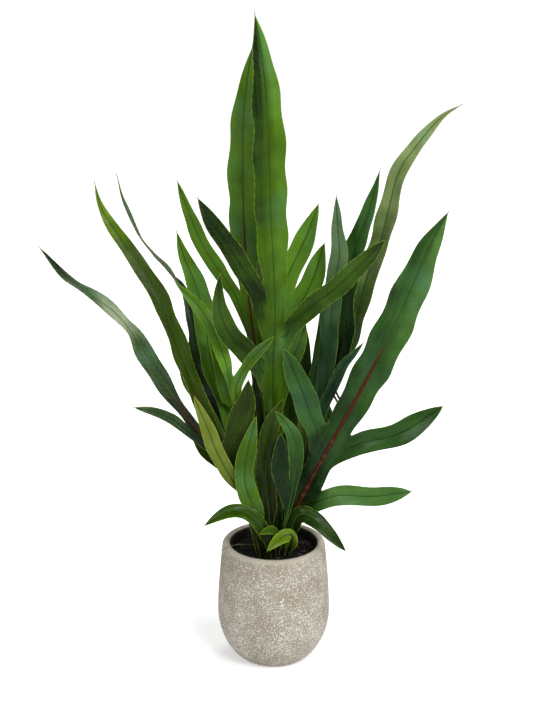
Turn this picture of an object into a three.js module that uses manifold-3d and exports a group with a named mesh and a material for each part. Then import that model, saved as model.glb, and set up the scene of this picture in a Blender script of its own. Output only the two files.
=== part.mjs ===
// A potted fern with long, deeply lobed, strap-like fronds, in a rounded cement pot filled with soil.
// Millimetres, +Z up, the origin in the middle of the pot's flat underside, the front towards -Y.
import * as THREE from "three";
import { mergeVertices } from "three/addons/utils/BufferGeometryUtils.js";
import Module from "manifold-3d";

const wasm = await Module();
wasm.setup();

// ---- Pot and soil ----
const POT_HEIGHT = 154;
const POT_FOOT_RADIUS = 40; // the flat ring that it stands on
const POT_BELLY_RADIUS = 70;
const POT_BELLY_HEIGHT = 63;
const POT_RIM_RADIUS = 63.5; // outside, just under the rounded lip
const POT_WALL = 11;
const POT_FLOOR = 14;
const FLOOR_ROUND = 6; // how far the floor's edge is rounded up into the wall
const LIP_RADIUS = 5.5;
const LIP_STEPS = 6; // faces round the lip
const FOOT_ROUND = 2.05; // powers that shape the side: the turn from the foot to the belly,
const FOOT_FLARE = 0.75; // how fast it leaves the foot,
const RIM_DRAW = 1.5; // and the draw in from the belly to the rim
const FOOT_HEIGHTS = [1.5, 5, 10, 17];
const WALL_HEIGHTS = [26, 38, 50, 63, 80, 100, 120, 136]; // where the side's faces meet
const POT_SIDES = 64;
const SOIL_SIDES = 48;
const SOIL_EDGE = 141; // height of the soil where it meets the pot
const SOIL_CROWN = 143; // and in the middle, where the stalks come up
const SOIL_FLAT_RADIUS = 30;
const SEAT_GAP = 0.3; // between pieces that touch
const HOLE_DEPTH = 26;
const HOLE_RADIUS = 2.8;
const HOLE_SIDES = 12;
const POT_COLOUR = "#b3ada2";
const SOIL_COLOUR = "#1c1712";
const CEMENT_ROUGHNESS = 0.85;
const SOIL_ROUGHNESS = 0.95;
const LEAF_ROUGHNESS = 0.45;

// ---- Blades ----
const STATION = 22; // spacing of the cross rows along a blade
const STALK_HALF_WIDTH = 2;
const STALK_THICKNESS = 3.6;
const STALK_EDGE = 1.8;
const RIB_THICKNESS = 1.5; // through the midrib of a blade
const RIB_SWELL = 0.5; // share of the stalk's extra thickness that a rib keeps at its foot
const EDGE_THICKNESS = 0.8;
const SHOULDER = 60; // length over which a bare stalk widens into its wings
const SWEEP = 0.6; // a row runs forward from midrib to margin by this share of the half width
const FOLD = 0.16; // the margins stand above the midrib by this share of the half width
const WAVE_LENGTH = 86; // of the waved margins
const WAVE_SHARE = 0.15; // height of a wave, as a share of the half width
const WAVE_STEP = 2.4; // radians from one margin's wave to the next one's
const FROND_STEP = 4.8; // and from one frond's waves to the next one's
const NECK = 0.72; // a lobe's width where it leaves the wing, as a share of its greatest width
const WIDEST = 0.42; // place of the greatest width, from neck 0 to tip 1
const BLADE_TAPER = 2.6; // power of the narrowing from there to the tip: the higher, the blunter
const LOBE_TAPER = 3;
const RUFFLE = 0.08; // a margin also swings in and out by this share of the half width
const RUFFLE_LENGTH = 61;
const RUFFLE_TURN = 1.9; // its phase, as a multiple of the wave's
const ROOT_SHARE = 0.3; // a lobe's foot is sunk this share of the way from margin to midrib
const ROOT_THICKNESS = 0.7;
const ROOT_CLEAR = 6; // the lobe's first free row is this far past the upper end of its foot
const TIP_STEP = 0.35; // the last row stands this share of a step short of the tip
const TURN_FROM = 0.25; // a blade's twist begins and ends at these shares of its length
const TURN_TO = 0.65;
const FACE = [0, -1, 0.15]; // where a blade looks unless its frond says otherwise

const LEFT = -1;
const RIGHT = 1;
const UP = new THREE.Vector3(0, 0, 1);

// ---- The fronds: root = place in the soil; rib = the midrib's points from there to the tip;
// blade = greatest width of the end lobe; wing = half width of the wings between lobes;
// stalk = bare length above the soil; turn = twist at the tip in degrees, taken up between the shares
// of the length in turned; face = where the blade looks; taper = how blunt its tip is.
// A lobe leaves the rib "at" this distance along it and runs through its own points to its tip. ----
function lobe(side, at, width, points, taper = LOBE_TAPER) {
  return { side, at, width, points, taper };
}

const FRONDS = [
  {
    name: "frond_centre_tall",
    colour: "#3d6b22",
    root: [-1, 8],
    rib: [
      [0, 9, 231], [-1, 3, 364], [1, -6, 467], [-4, -14, 573],
      [-7, -21, 674], [-13, -25, 748], [-22, -26, 805],
    ],
    blade: 38,
    taper: 3.1,
    wing: 12,
    stalk: 90,
    face: [0.12, -1, 0.15],
    lobes: [
      lobe(LEFT, 280, 23, [[-28, -16, 494], [-59, -26, 548], [-76, -30, 574], [-88, -34, 598]], 3.8),
      lobe(LEFT, 224, 26, [
        [-40, -30, 418], [-53, -36, 436], [-64, -43, 466], [-64, -48, 490], [-62, -50, 514],
      ], 2),
      lobe(RIGHT, 257, 24, [[36, -24, 458], [76, -38, 496], [127, -48, 552]], 4.6),
      lobe(RIGHT, 205, 20, [[22, -8, 394], [38, -6, 438]]),
    ],
  },
  {
    name: "frond_centre_rear",
    colour: "#3f6a2a",
    root: [-13, 22],
    rib: [
      [-15, 30, 236], [-18, 32, 354], [-27, 30, 431], [-32, 28, 482], [-36, 22, 576],
      [-36, 16, 666], [-31, 11, 725], [-25, 8, 764],
    ],
    blade: 35,
    face: [-0.25, -1, 0.1],
    wing: 9,
    stalk: 120,
    lobes: [
      lobe(LEFT, 280, 19, [[-59, 30, 484], [-82, 30, 519], [-99, 28, 560], [-114, 26, 604]]),
      lobe(RIGHT, 256, 28, [[17, 36, 486], [37, 40, 529], [53, 40, 573]], 3.6),
      lobe(RIGHT, 200, 30, [[22, 38, 430], [44, 46, 470], [61, 52, 522]], 4),
    ],
  },
  {
    name: "frond_right_front",
    colour: "#2f5a2a",
    root: [9, 4],
    rib: [
      [34, -12, 217], [73, -34, 305], [95, -44, 353], [133, -60, 438],
      [163, -70, 517], [178, -75, 557], [195, -78, 592],
    ],
    blade: 42,
    taper: 3.2,
    wing: 16,
    stalk: 20,
    face: [-0.1, -1, 0.3],
    lobes: [
      lobe(RIGHT, 149, 28, [[108, -50, 304], [152, -58, 320], [198, -64, 355]], 3.8),
      lobe(RIGHT, 75, 24, [[74, -30, 227], [118, -40, 230], [166, -44, 238]], 4.5),
      lobe(LEFT, 151, 29, [[47, -48, 328], [32, -66, 376], [11, -80, 432]]),
      lobe(LEFT, 75, 17, [[22, -22, 247], [16, -30, 280]]),
    ],
  },
  {
    name: "frond_right_high",
    colour: "#47663c",
    root: [16, 26],
    rib: [
      [36, 44, 203], [55, 58, 278], [68, 66, 326], [79, 72, 361], [93, 75, 387],
      [101, 76, 414], [108, 76, 445], [118, 74, 484], [130, 71, 520], [139, 65, 563],
      [149, 60, 607], [169, 52, 641], [195, 42, 676], [218, 36, 692],
    ],
    blade: 27,
    wing: 4,
    stalk: 190,
    face: [-0.7, -1, 0],
    lobes: [],
  },
  {
    name: "frond_right_dark",
    colour: "#28482a",
    root: [9, 34],
    rib: [
      [28, 40, 213], [48, 46, 270], [67, 50, 324], [80, 50, 366], [86, 48, 407],
      [87, 44, 452], [95, 38, 511], [112, 30, 565], [124, 24, 617],
    ],
    blade: 29,
    wing: 4,
    stalk: 180,
    face: [-0.6, -1, 0.1],
    lobes: [],
  },
  {
    name: "frond_right_teal",
    colour: "#28565a",
    root: [14, 12],
    rib: [
      [33, 18, 214], [46, 22, 279], [57, 26, 330], [64, 27, 368], [67, 26, 407],
      [69, 24, 448], [73, 22, 484], [78, 20, 512], [76, 19, 540], [73, 18, 588],
    ],
    blade: 24,
    taper: 3.6,
    wing: 5,
    stalk: 150,
    face: [-0.4, -1, 0.1],
    lobes: [lobe(RIGHT, 152, 14, [[81, 18, 371], [94, 14, 390], [108, 12, 409]])],
  },
  {
    name: "frond_left_olive",
    colour: "#4a6a14",
    root: [-18, 2],
    rib: [
      [-29, 0, 208], [-52, -4, 255], [-77, -10, 311], [-98, -14, 366], [-114, -16, 415],
      [-132, -18, 467], [-151, -20, 503], [-183, -24, 554], [-200, -25, 584], [-206, -26, 613],
    ],
    blade: 22,
    taper: 3.4,
    wing: 7,
    stalk: 60,
    face: [0.65, -1, 0.2],
    lobes: [lobe(LEFT, 112, 14, [[-76, -12, 268], [-99, -16, 298]])],
  },
  {
    name: "frond_left_low",
    colour: "#2c4f2a",
    root: [-20, -10],
    rib: [
      [-26, -16, 204], [-46, -24, 247], [-81, -32, 298], [-118, -40, 354], [-149, -47, 410],
      [-178, -50, 458], [-207, -54, 484], [-240, -58, 511], [-268, -60, 546],
    ],
    blade: 23,
    taper: 3.6,
    wing: 6,
    stalk: 90,
    turn: 70,
    turned: [0.5, 0.8],
    lobes: [lobe(LEFT, 188, 13, [[-133, -40, 336], [-166, -44, 346]])],
  },
  {
    name: "frond_left_upright",
    colour: "#3a6a30",
    root: [-15, 14],
    rib: [
      [-36, 18, 241], [-59, 20, 319], [-77, 20, 384], [-84, 18, 438],
      [-94, 16, 481], [-107, 14, 515], [-115, 12, 546],
    ],
    blade: 30,
    wing: 9,
    stalk: 80,
    face: [0.6, -1, 0.1],
    lobes: [lobe(RIGHT, 161, 22, [[-58, 10, 355], [-66, 6, 388], [-79, 2, 419]])],
  },
  {
    name: "frond_left_thin",
    colour: "#2f4c2c",
    root: [-20, 34],
    rib: [
      [-27, 40, 210], [-42, 42, 258], [-60, 44, 304], [-85, 44, 363], [-99, 42, 421], [-110, 38, 464],
      [-135, 34, 501], [-158, 30, 531], [-176, 22, 573], [-184, 16, 613],
    ],
    blade: 27,
    wing: 9,
    stalk: 80,
    face: [0.6, -1, 0.1],
    turn: 82,
    turned: [0.5, 0.75],
    lobes: [],
  },
  {
    name: "frond_left_forked",
    colour: "#4f8a35",
    root: [-16, -3],
    rib: [[-26, -18, 255], [-40, -34, 338], [-45, -40, 371], [-26, -56, 411], [0, -70, 443]],
    blade: 13,
    wing: 7,
    stalk: 170,
    lobes: [lobe(LEFT, 223, 17, [[-64, -24, 416], [-83, -10, 452], [-118, 2, 488]])],
  },
  {
    name: "frond_front_left",
    colour: "#4c6a1c",
    root: [-13, -16],
    rib: [
      [-27, -25, 203], [-43, -31, 249], [-49, -34, 283],
      [-43, -38, 317], [-34, -42, 349], [-30, -44, 381],
    ],
    blade: 30,
    taper: 4,
    wing: 5,
    stalk: 88,
    lobes: [],
  },
  {
    name: "frond_front_yellow",
    colour: "#7a8a26",
    root: [-18, -27],
    rib: [[-37, -33, 224], [-52, -42, 256], [-68, -52, 292], [-79, -57, 325], [-94, -62, 367]],
    blade: 19,
    taper: 3.4,
    wing: 4,
    stalk: 85,
    lobes: [],
  },
  {
    name: "frond_front_bright",
    colour: "#48761c",
    root: [-10, -22],
    rib: [[-23, -37, 209], [-35, -44, 248], [-33, -50, 286], [-27, -54, 315], [-21, -54, 339]],
    blade: 24,
    taper: 3.6,
    wing: 5,
    stalk: 25,
    lobes: [],
  },
  {
    name: "frond_front_bent",
    colour: "#3f4f1a",
    root: [-2, -12],
    rib: [[-7, -24, 212], [-10, -30, 260], [-7, -34, 301], [1, -38, 334], [12, -40, 356]],
    blade: 24,
    taper: 4,
    wing: 6,
    stalk: 25,
    lobes: [],
  },
  {
    name: "frond_front_small",
    colour: "#2f5c34",
    root: [5, -16],
    rib: [[16, -30, 201], [24, -42, 252], [27, -48, 287], [20, -54, 321], [1, -58, 347]],
    blade: 18,
    taper: 3.4,
    wing: 5,
    stalk: 40,
    lobes: [lobe(LEFT, 84, 22, [[9, -46, 256], [8, -50, 316]])],
  },
  {
    name: "frond_mid_right",
    colour: "#2c4a26",
    root: [8, 43],
    rib: [[18, 66, 225], [30, 80, 289], [38, 86, 354], [40, 90, 405]],
    blade: 22,
    wing: 7,
    stalk: 60,
    lobes: [
      lobe(RIGHT, 95, 17, [[43, 80, 308], [57, 84, 369], [59, 88, 431]]),
      lobe(LEFT, 90, 18, [[6, 84, 285], [-4, 94, 350]]),
    ],
  },
  {
    name: "frond_inner_left",
    colour: "#33511c",
    root: [-8, 1],
    rib: [[-14, -4, 210], [-22, -6, 262], [-26, -8, 310]],
    blade: 24,
    wing: 5,
    stalk: 15,
    lobes: [],
  },
  {
    name: "frond_inner_right",
    colour: "#2b4f33",
    root: [3, -4],
    rib: [[4, -10, 193], [4, -15, 235], [8, -18, 272]],
    blade: 14,
    wing: 4,
    stalk: 12,
    lobes: [],
  },
  {
    name: "frond_inner_rear",
    colour: "#2a4520",
    root: [2, 22],
    rib: [[8, 22, 215], [15, 20, 275], [20, 18, 362]],
    blade: 30,
    wing: 6,
    stalk: 25,
    lobes: [],
  },
  {
    name: "frond_back_tall",
    colour: "#375c28",
    root: [-4, 42],
    rib: [[-8, 70, 219], [-12, 104, 295], [-13, 130, 400], [-16, 145, 507], [-20, 150, 615]],
    blade: 33,
    wing: 11,
    stalk: 80,
    face: [0.5, -1, 0.3],
    lobes: [
      lobe(LEFT, 150, 20, [[-30, 124, 278], [-43, 144, 290], [-53, 160, 292]]),
      lobe(RIGHT, 125, 22, [[14, 126, 255], [32, 150, 268], [48, 182, 276]]),
    ],
  },
  {
    name: "frond_back_left",
    colour: "#33582a",
    root: [-14, 40],
    rib: [
      [-40, 64, 215], [-63, 92, 252], [-85, 120, 279],
      [-104, 150, 304], [-122, 180, 341], [-133, 196, 366],
    ],
    blade: 25,
    wing: 9,
    stalk: 60,
    face: [0.6, -1, 0.6],
    lobes: [
      lobe(LEFT, 105, 18, [[-84, 118, 253], [-100, 130, 256]]),
      lobe(RIGHT, 120, 17, [[-61, 130, 256], [-54, 150, 260]]),
    ],
  },
  {
    name: "frond_back_right",
    colour: "#2f5228",
    root: [18, 38],
    rib: [
      [41, 66, 205], [67, 100, 239], [99, 136, 276],
      [131, 170, 322], [161, 196, 373], [183, 212, 424],
    ],
    blade: 26,
    wing: 9,
    stalk: 60,
    face: [-0.8, -0.8, 0.6],
    lobes: [
      lobe(RIGHT, 110, 19, [[114, 114, 242], [154, 128, 241], [185, 134, 249]]),
      lobe(LEFT, 130, 19, [[74, 140, 261], [56, 158, 285], [43, 170, 311]]),
    ],
  },
  {
    name: "frond_inner_centre",
    colour: "#2b4a1c",
    root: [-7, 15],
    rib: [[-14, 17, 220], [-20, 18, 300], [-24, 17, 372]],
    blade: 22,
    wing: 6,
    stalk: 30,
    lobes: [],
  },
  {
    name: "frond_inner_grey",
    colour: "#41553a",
    root: [22, 8],
    rib: [[28, 4, 200], [34, -2, 250], [36, -6, 295], [31, -9, 331]],
    blade: 19,
    wing: 5,
    stalk: 40,
    lobes: [],
  },
  {
    name: "frond_inner_low",
    colour: "#20401f",
    root: [4, 14],
    rib: [[11, 9, 185], [16, 7, 225], [20, 7, 258]],
    blade: 16,
    wing: 5,
    stalk: 10,
    lobes: [],
  },
  {
    name: "leaf_basal_left",
    colour: "#2f5c20",
    root: [-5, -31],
    rib: [
      [-9, -38, 174], [-17, -43, 194], [-29, -46, 208], [-46, -50, 216], [-66, -53, 209], [-84, -55, 198],
    ],
    blade: 19,
    taper: 3.4,
    wing: 5,
    stalk: 15,
    face: [0, -0.8, 1],
    lobes: [],
  },
  {
    name: "leaf_basal_right",
    colour: "#2f5a24",
    root: [20, -14],
    rib: [[24, -26, 190], [37, -34, 205], [54, -40, 196], [70, -44, 178], [88, -46, 160]],
    blade: 23,
    wing: 4,
    stalk: 15,
    face: [0, -0.8, 1],
    lobes: [],
  },
  {
    name: "leaf_basal_centre",
    colour: "#37601f",
    root: [4, -25],
    rib: [[6, -28, 168], [7, -37, 183], [-4, -44, 188], [-18, -50, 184]],
    blade: 17,
    wing: 5,
    stalk: 8,
    face: [0, -0.8, 1],
    lobes: [],
  },
  {
    name: "leaf_basal_yellow",
    colour: "#6a8f14",
    root: [15, -26],
    rib: [[21, -36, 166], [23, -42, 179], [14, -49, 183], [2, -54, 176], [-8, -56, 165]],
    blade: 18,
    wing: 4,
    stalk: 8,
    face: [0, -1, 0.8],
    lobes: [],
  },
];

// Rows on a smooth curve through the points: equal steps of about STATION from a start distance to
// the end, with one more just short of it.
function rowsAlong(points, start = 0) {
  const curve = new THREE.CatmullRomCurve3(points, false, "catmullrom");
  const length = curve.getLength();
  const steps = Math.max(3, Math.round((length - start) / STATION));
  const stops = Array.from({ length: steps + 1 }, (_, i) => i);
  stops.splice(steps, 0, steps - TIP_STEP);
  return stops.map((stop) => {
    const distance = start + ((length - start) * stop) / steps;
    const share = Math.min(distance / length, 1);
    return { point: curve.getPointAt(share), along: curve.getTangentAt(share), distance };
  });
}

// The directions across a blade (to its right) and out of its face, turned about its own run.
function frameAt(along, face, turn) {
  const across = new THREE.Vector3().crossVectors(along, face).normalize();
  across.applyAxisAngle(along, THREE.MathUtils.degToRad(turn));
  const out = new THREE.Vector3().crossVectors(across, along).normalize();
  return { across, out };
}

// Width of a strap from its neck (0) to its tip (1), as a share of its greatest width.
function strapShare(place, taper) {
  if (place < WIDEST) return NECK + (1 - NECK) * Math.sin((Math.PI / 2) * (place / WIDEST));
  return 1 - ((place - WIDEST) / (1 - WIDEST)) ** taper;
}

function smoothStep(value) {
  const share = THREE.MathUtils.clamp(value, 0, 1);
  return share * share * (3 - 2 * share);
}

// Half width of the middle strip at a distance along the rib: bare stalk, wings, then the end lobe.
function ribHalfWidth(frond, crown, length, distance) {
  const widening = smoothStep((distance - frond.stalk) / SHOULDER);
  const winged = STALK_HALF_WIDTH + (frond.wing - STALK_HALF_WIDTH) * widening;
  if (distance < crown) return winged;
  const place = (distance - crown) / (length - crown);
  const lobed = (frond.blade / 2) * strapShare(place, frond.taper ?? BLADE_TAPER);
  return winged + (lobed - winged) * smoothStep(place / (WIDEST / 2));
}

// Places a margin point beside the midrib.
function marginPoint(row, side, half, lift) {
  return row.point.clone()
    .addScaledVector(row.across, side * half)
    .addScaledVector(row.along, SWEEP * half * row.swept)
    .addScaledVector(row.out, lift);
}

function marginLift(half, distance, phase) {
  return half * (FOLD + WAVE_SHARE * Math.sin((2 * Math.PI * distance) / WAVE_LENGTH + phase));
}

function ruffled(half, distance, phase) {
  const swing = Math.sin((2 * Math.PI * distance) / RUFFLE_LENGTH + RUFFLE_TURN * phase);
  return half * (1 + RUFFLE * swing);
}

// A blade is first a sheet: points with the thickness there, and triangles that face out of it.
class Sheet {
  constructor() {
    this.points = [];
    this.thickness = [];
    this.triangles = [];
  }

  add(point, thickness) {
    this.points.push(point);
    this.thickness.push(thickness);
    return this.points.length - 1;
  }

  // A four-sided cell between two rows, given in order round it.
  cell(a, b, c, d) {
    this.triangles.push([a, b, c], [a, c, d]);
  }
}

// Joins two rows of a strip; the last row may be the single point of the tip.
function joinRows(sheet, row, next, turned) {
  for (let i = 0; i < row.length - 1; i++) {
    const ends = next.length === 1 ? [next[0]] : [next[i], next[i + 1]];
    const ring = [row[i], row[i + 1], ...ends.toReversed()];
    if (turned) ring.reverse();
    if (ring.length === 3) sheet.triangles.push(ring);
    else sheet.cell(...ring);
  }
}

// A lobe's sheet: its broad foot is sunk into the wing beside three neighbouring rows of the rib.
function lobeSheet(spec, wing, face, phase) {
  const sheet = new Sheet();
  const sunk = wing.map(({ margin, middle }) => margin.clone().lerp(middle, ROOT_SHARE));
  let last = sunk.map((point) => sheet.add(point, ROOT_THICKNESS));
  const foot = wing[1].middle;
  const neck = foot.distanceTo(wing[1].margin);
  const rows = rowsAlong([foot, ...spec.points.map((p) => new THREE.Vector3(...p))], neck);
  const reach = rows[rows.length - 1].distance - neck;
  const clear = (row) => row.along.dot(row.point.clone().sub(wing[2].margin)) > ROOT_CLEAR;
  const first = rows.findIndex(clear);
  for (const row of rows.slice(Math.max(first, 1))) {
    const place = (row.distance - neck) / reach;
    Object.assign(row, frameAt(row.along, face, 0), { swept: 0 });
    const half = (spec.width / 2) * strapShare(place, spec.taper);
    const margin = (side, wave) =>
      marginPoint(row, side, ruffled(half, row.distance, wave), marginLift(half, row.distance, wave));
    const low = margin(spec.side, phase);
    const high = margin(-spec.side, phase + WAVE_STEP);
    const next = place < 1
      ? [
        sheet.add(low, EDGE_THICKNESS),
        sheet.add(row.point, RIB_THICKNESS),
        sheet.add(high, EDGE_THICKNESS),
      ]
      : [sheet.add(row.point, EDGE_THICKNESS)];
    joinRows(sheet, last, next, spec.side === RIGHT);
    last = next;
  }
  return sheet;
}

// A frond's sheets: stalk, winged rib and end lobe in one strip, then each side lobe.
function frondSheets(frond, number) {
  const face = new THREE.Vector3(...(frond.face ?? FACE)).normalize();
  const [x, y] = frond.root;
  const [turnFrom, turnTo] = frond.turned ?? [TURN_FROM, TURN_TO];
  const collar = new THREE.Vector3(x, y, SOIL_CROWN);
  const rows = rowsAlong([collar, ...frond.rib.map((p) => new THREE.Vector3(...p))]);
  const length = rows[rows.length - 1].distance;
  const crown = frond.lobes.reduce((most, l) => Math.max(most, l.at + STATION), frond.stalk);
  const foot = new THREE.Vector3(x, y, SOIL_CROWN - HOLE_DEPTH + SEAT_GAP);
  rows.unshift({ point: foot, along: UP.clone(), distance: 0 });
  rows[1].along = UP.clone();
  const strip = new Sheet();
  const phase = FROND_STEP * number;
  let last;
  rows.forEach((row, i) => {
    const half = i === 0 ? STALK_HALF_WIDTH : ribHalfWidth(frond, crown, length, row.distance);
    const place = Math.max(0, (row.distance - crown) / (length - crown));
    const twist = smoothStep((row.distance / length - turnFrom) / (turnTo - turnFrom));
    Object.assign(row, frameAt(row.along, face, (frond.turn ?? 0) * twist));
    row.swept = 1 - smoothStep(place * 2);
    const bare = 1 - smoothStep((row.distance - frond.stalk) / SHOULDER);
    const edge = EDGE_THICKNESS + (STALK_EDGE - EDGE_THICKNESS) * bare;
    const fade = 1 - row.distance / length;
    const swell = Math.max(bare, RIB_SWELL * fade * fade);
    const middle = RIB_THICKNESS + (STALK_THICKNESS - RIB_THICKNESS) * swell;
    const margin = (side, wave) => {
      const wide = bare > 0 ? half : ruffled(half, row.distance, wave);
      return marginPoint(row, side, wide, (1 - bare) * marginLift(half, row.distance, wave));
    };
    row.margins = { [LEFT]: margin(LEFT, phase), [RIGHT]: margin(RIGHT, phase + WAVE_STEP) };
    const next = i === rows.length - 1
      ? [strip.add(row.point, EDGE_THICKNESS)]
      : [
        strip.add(row.margins[LEFT], edge),
        strip.add(row.point, middle),
        strip.add(row.margins[RIGHT], edge),
      ];
    if (last) joinRows(strip, last, next, false);
    last = next;
  });
  const lobes = frond.lobes.map((spec, index) => {
    const near = rows.findIndex((row, i) => i > 0 && row.distance > spec.at - STATION / 2);
    const wing = rows.slice(near - 1, near + 2)
      .map((row) => ({ margin: row.margins[spec.side], middle: row.point }));
    return lobeSheet(spec, wing, face, phase + WAVE_STEP * (index + 1));
  });
  return [strip, ...lobes];
}

// Outward direction at each point of a sheet, averaged over the triangles round it.
function sheetNormals(sheet) {
  const normals = sheet.points.map(() => new THREE.Vector3());
  for (const [a, b, c] of sheet.triangles) {
    const ab = new THREE.Vector3().subVectors(sheet.points[b], sheet.points[a]);
    const ac = new THREE.Vector3().subVectors(sheet.points[c], sheet.points[a]);
    const normal = ab.cross(ac);
    for (const corner of [a, b, c]) normals[corner].add(normal);
  }
  return normals.map((n) => n.normalize());
}

// Gives a sheet its thickness: two faces split into the same triangles, and a wall round the margin.
function thicken(sheet) {
  const normals = sheetNormals(sheet);
  const count = sheet.points.length;
  const vertices = [];
  for (const side of [0.5, -0.5])
    sheet.points.forEach((p, i) => {
      const moved = p.clone().addScaledVector(normals[i], side * sheet.thickness[i]);
      vertices.push(moved.x, moved.y, moved.z);
    });
  const index = [];
  const rim = new Map();
  for (const [a, b, c] of sheet.triangles) {
    index.push(a, b, c, a + count, c + count, b + count);
    for (const [from, to] of [[a, b], [b, c], [c, a]])
      if (!rim.delete(`${to},${from}`)) rim.set(`${from},${to}`, [from, to]);
  }
  for (const [from, to] of rim.values())
    index.push(from, from + count, to + count, from, to + count, to);
  const geometry = new THREE.BufferGeometry();
  geometry.setAttribute("position", new THREE.Float32BufferAttribute(vertices, 3));
  geometry.setIndex(index);
  return geometry;
}

// A closed geometry as a solid that can be joined and cut.
function toSolid(geometry) {
  const bare = geometry.clone();
  for (const name of ["normal", "uv"]) bare.deleteAttribute(name);
  const merged = mergeVertices(bare, 1e-4);
  return new wasm.Manifold(new wasm.Mesh({
    numProp: 3,
    vertProperties: merged.attributes.position.array,
    triVerts: new Uint32Array(merged.index.array),
  }));
}

function fromSolid(solid) {
  const mesh = solid.getMesh();
  const geometry = new THREE.BufferGeometry();
  geometry.setAttribute("position", new THREE.BufferAttribute(mesh.vertProperties, 3));
  geometry.setIndex(new THREE.BufferAttribute(mesh.triVerts, 1));
  return geometry;
}

// A solid of revolution about +Z from [radius, height] points that run up its outline.
function turned(points, sides) {
  const geometry = new THREE.LatheGeometry(points.map(([r, z]) => new THREE.Vector2(r, z)), sides);
  return geometry.rotateX(Math.PI / 2);
}

// Outside radius of the pot by height: a flat foot, a full belly below the middle and a slight
// draw in towards the rim.
function potRadius(height) {
  if (height < POT_BELLY_HEIGHT) {
    const rise = 1 - height / POT_BELLY_HEIGHT;
    const share = (1 - rise ** FOOT_ROUND) ** FOOT_FLARE;
    return POT_FOOT_RADIUS + (POT_BELLY_RADIUS - POT_FOOT_RADIUS) * share;
  }
  const rise = (height - POT_BELLY_HEIGHT) / (POT_HEIGHT - POT_BELLY_HEIGHT);
  return POT_BELLY_RADIUS - (POT_BELLY_RADIUS - POT_RIM_RADIUS) * rise ** RIM_DRAW;
}

function cavityRadius(height) {
  return potRadius(height) - POT_WALL;
}

// Up the outside from the foot, over the lip and down the inside to the floor.
function potOutline() {
  const outline = [[0, 0], [POT_FOOT_RADIUS, 0]];
  for (const height of [...FOOT_HEIGHTS, ...WALL_HEIGHTS]) outline.push([potRadius(height), height]);
  const lipHeight = POT_HEIGHT - LIP_RADIUS;
  const lipRadius = potRadius(lipHeight) - LIP_RADIUS;
  for (let step = 0; step <= LIP_STEPS; step++) {
    const angle = (Math.PI * step) / LIP_STEPS;
    outline.push([lipRadius + LIP_RADIUS * Math.cos(angle), lipHeight + LIP_RADIUS * Math.sin(angle)]);
  }
  for (const height of WALL_HEIGHTS.toReversed()) outline.push([cavityRadius(height), height]);
  outline.push([floorRadius(), POT_FLOOR], [0, POT_FLOOR]);
  return outline;
}

function floorRadius() {
  return cavityRadius(POT_FLOOR + FLOOR_ROUND) - FLOOR_ROUND;
}

function soilOutline() {
  const bottom = POT_FLOOR + SEAT_GAP;
  const outline = [[0, bottom], [floorRadius() - SEAT_GAP, bottom]];
  for (const height of [...WALL_HEIGHTS, SOIL_EDGE]) {
    outline.push([cavityRadius(height) - SEAT_GAP, height]);
  }
  outline.push([SOIL_FLAT_RADIUS, SOIL_CROWN], [0, SOIL_CROWN]);
  return outline;
}

// A frond in one piece: its strip joined with its side lobes. Where they shut in a small pocket, it
// is filled.
function frondGeometry(frond, number) {
  const solids = frondSheets(frond, number).map((sheet) => toSolid(thicken(sheet)));
  const bodies = solids.reduce((whole, lobed) => whole.add(lobed)).decompose();
  return fromSolid(bodies.sort((a, b) => b.volume() - a.volume())[0]);
}

// The soil fills the pot and has a plain round hole for each stalk.
function soilGeometry() {
  let soil = toSolid(turned(soilOutline(), SOIL_SIDES));
  for (const { root } of FRONDS) {
    const hole = new THREE.CylinderGeometry(HOLE_RADIUS, HOLE_RADIUS, HOLE_DEPTH * 2, HOLE_SIDES);
    hole.rotateX(Math.PI / 2).translate(root[0], root[1], SOIL_CROWN);
    soil = soil.subtract(toSolid(hole));
  }
  return fromSolid(soil);
}

function named(name, geometry, colour, roughness) {
  geometry.computeVertexNormals();
  const material = new THREE.MeshStandardMaterial({ color: colour, roughness, metalness: 0 });
  const mesh = new THREE.Mesh(geometry, material);
  mesh.name = name;
  return mesh;
}

const fern = new THREE.Group();
fern.add(named("pot", turned(potOutline(), POT_SIDES), POT_COLOUR, CEMENT_ROUGHNESS));
fern.add(named("soil", soilGeometry(), SOIL_COLOUR, SOIL_ROUGHNESS));
const plant = new THREE.Group();
FRONDS.forEach((frond, number) => {
  plant.add(named(frond.name, frondGeometry(frond, number), frond.colour, LEAF_ROUGHNESS));
});
fern.add(plant);

export default fern;
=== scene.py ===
"""A potted fern: long, strap-like, deeply lobed fronds standing in soil in a rounded cement pot.

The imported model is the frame. The classes below build finer pieces around it: the pot, the soil with
its crumbs, and the fronds with their margins, ribs and veins. Sizes are in millimetres until a mesh
or a shader takes them. The frame is in metres, +Z up, the front towards -Y.
"""
import logging
import math
import random
from dataclasses import dataclass, field
from enum import Enum
from typing import Sequence

import bmesh
import bpy
from mathutils import Matrix, Vector, noise
from mathutils.bvhtree import BVHTree
from mathutils.kdtree import KDTree


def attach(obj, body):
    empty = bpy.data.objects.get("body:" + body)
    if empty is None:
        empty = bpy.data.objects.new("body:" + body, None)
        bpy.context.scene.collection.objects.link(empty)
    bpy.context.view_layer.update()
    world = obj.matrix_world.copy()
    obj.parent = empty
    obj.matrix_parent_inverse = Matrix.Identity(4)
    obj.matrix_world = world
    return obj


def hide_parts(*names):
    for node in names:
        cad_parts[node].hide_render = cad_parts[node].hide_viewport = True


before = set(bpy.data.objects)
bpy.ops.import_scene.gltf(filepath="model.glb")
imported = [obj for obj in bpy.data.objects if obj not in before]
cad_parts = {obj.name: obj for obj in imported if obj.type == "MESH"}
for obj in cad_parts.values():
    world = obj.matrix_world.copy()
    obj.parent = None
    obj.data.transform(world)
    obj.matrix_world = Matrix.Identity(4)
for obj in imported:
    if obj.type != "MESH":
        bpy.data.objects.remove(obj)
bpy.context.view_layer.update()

MM = 0.001
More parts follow.
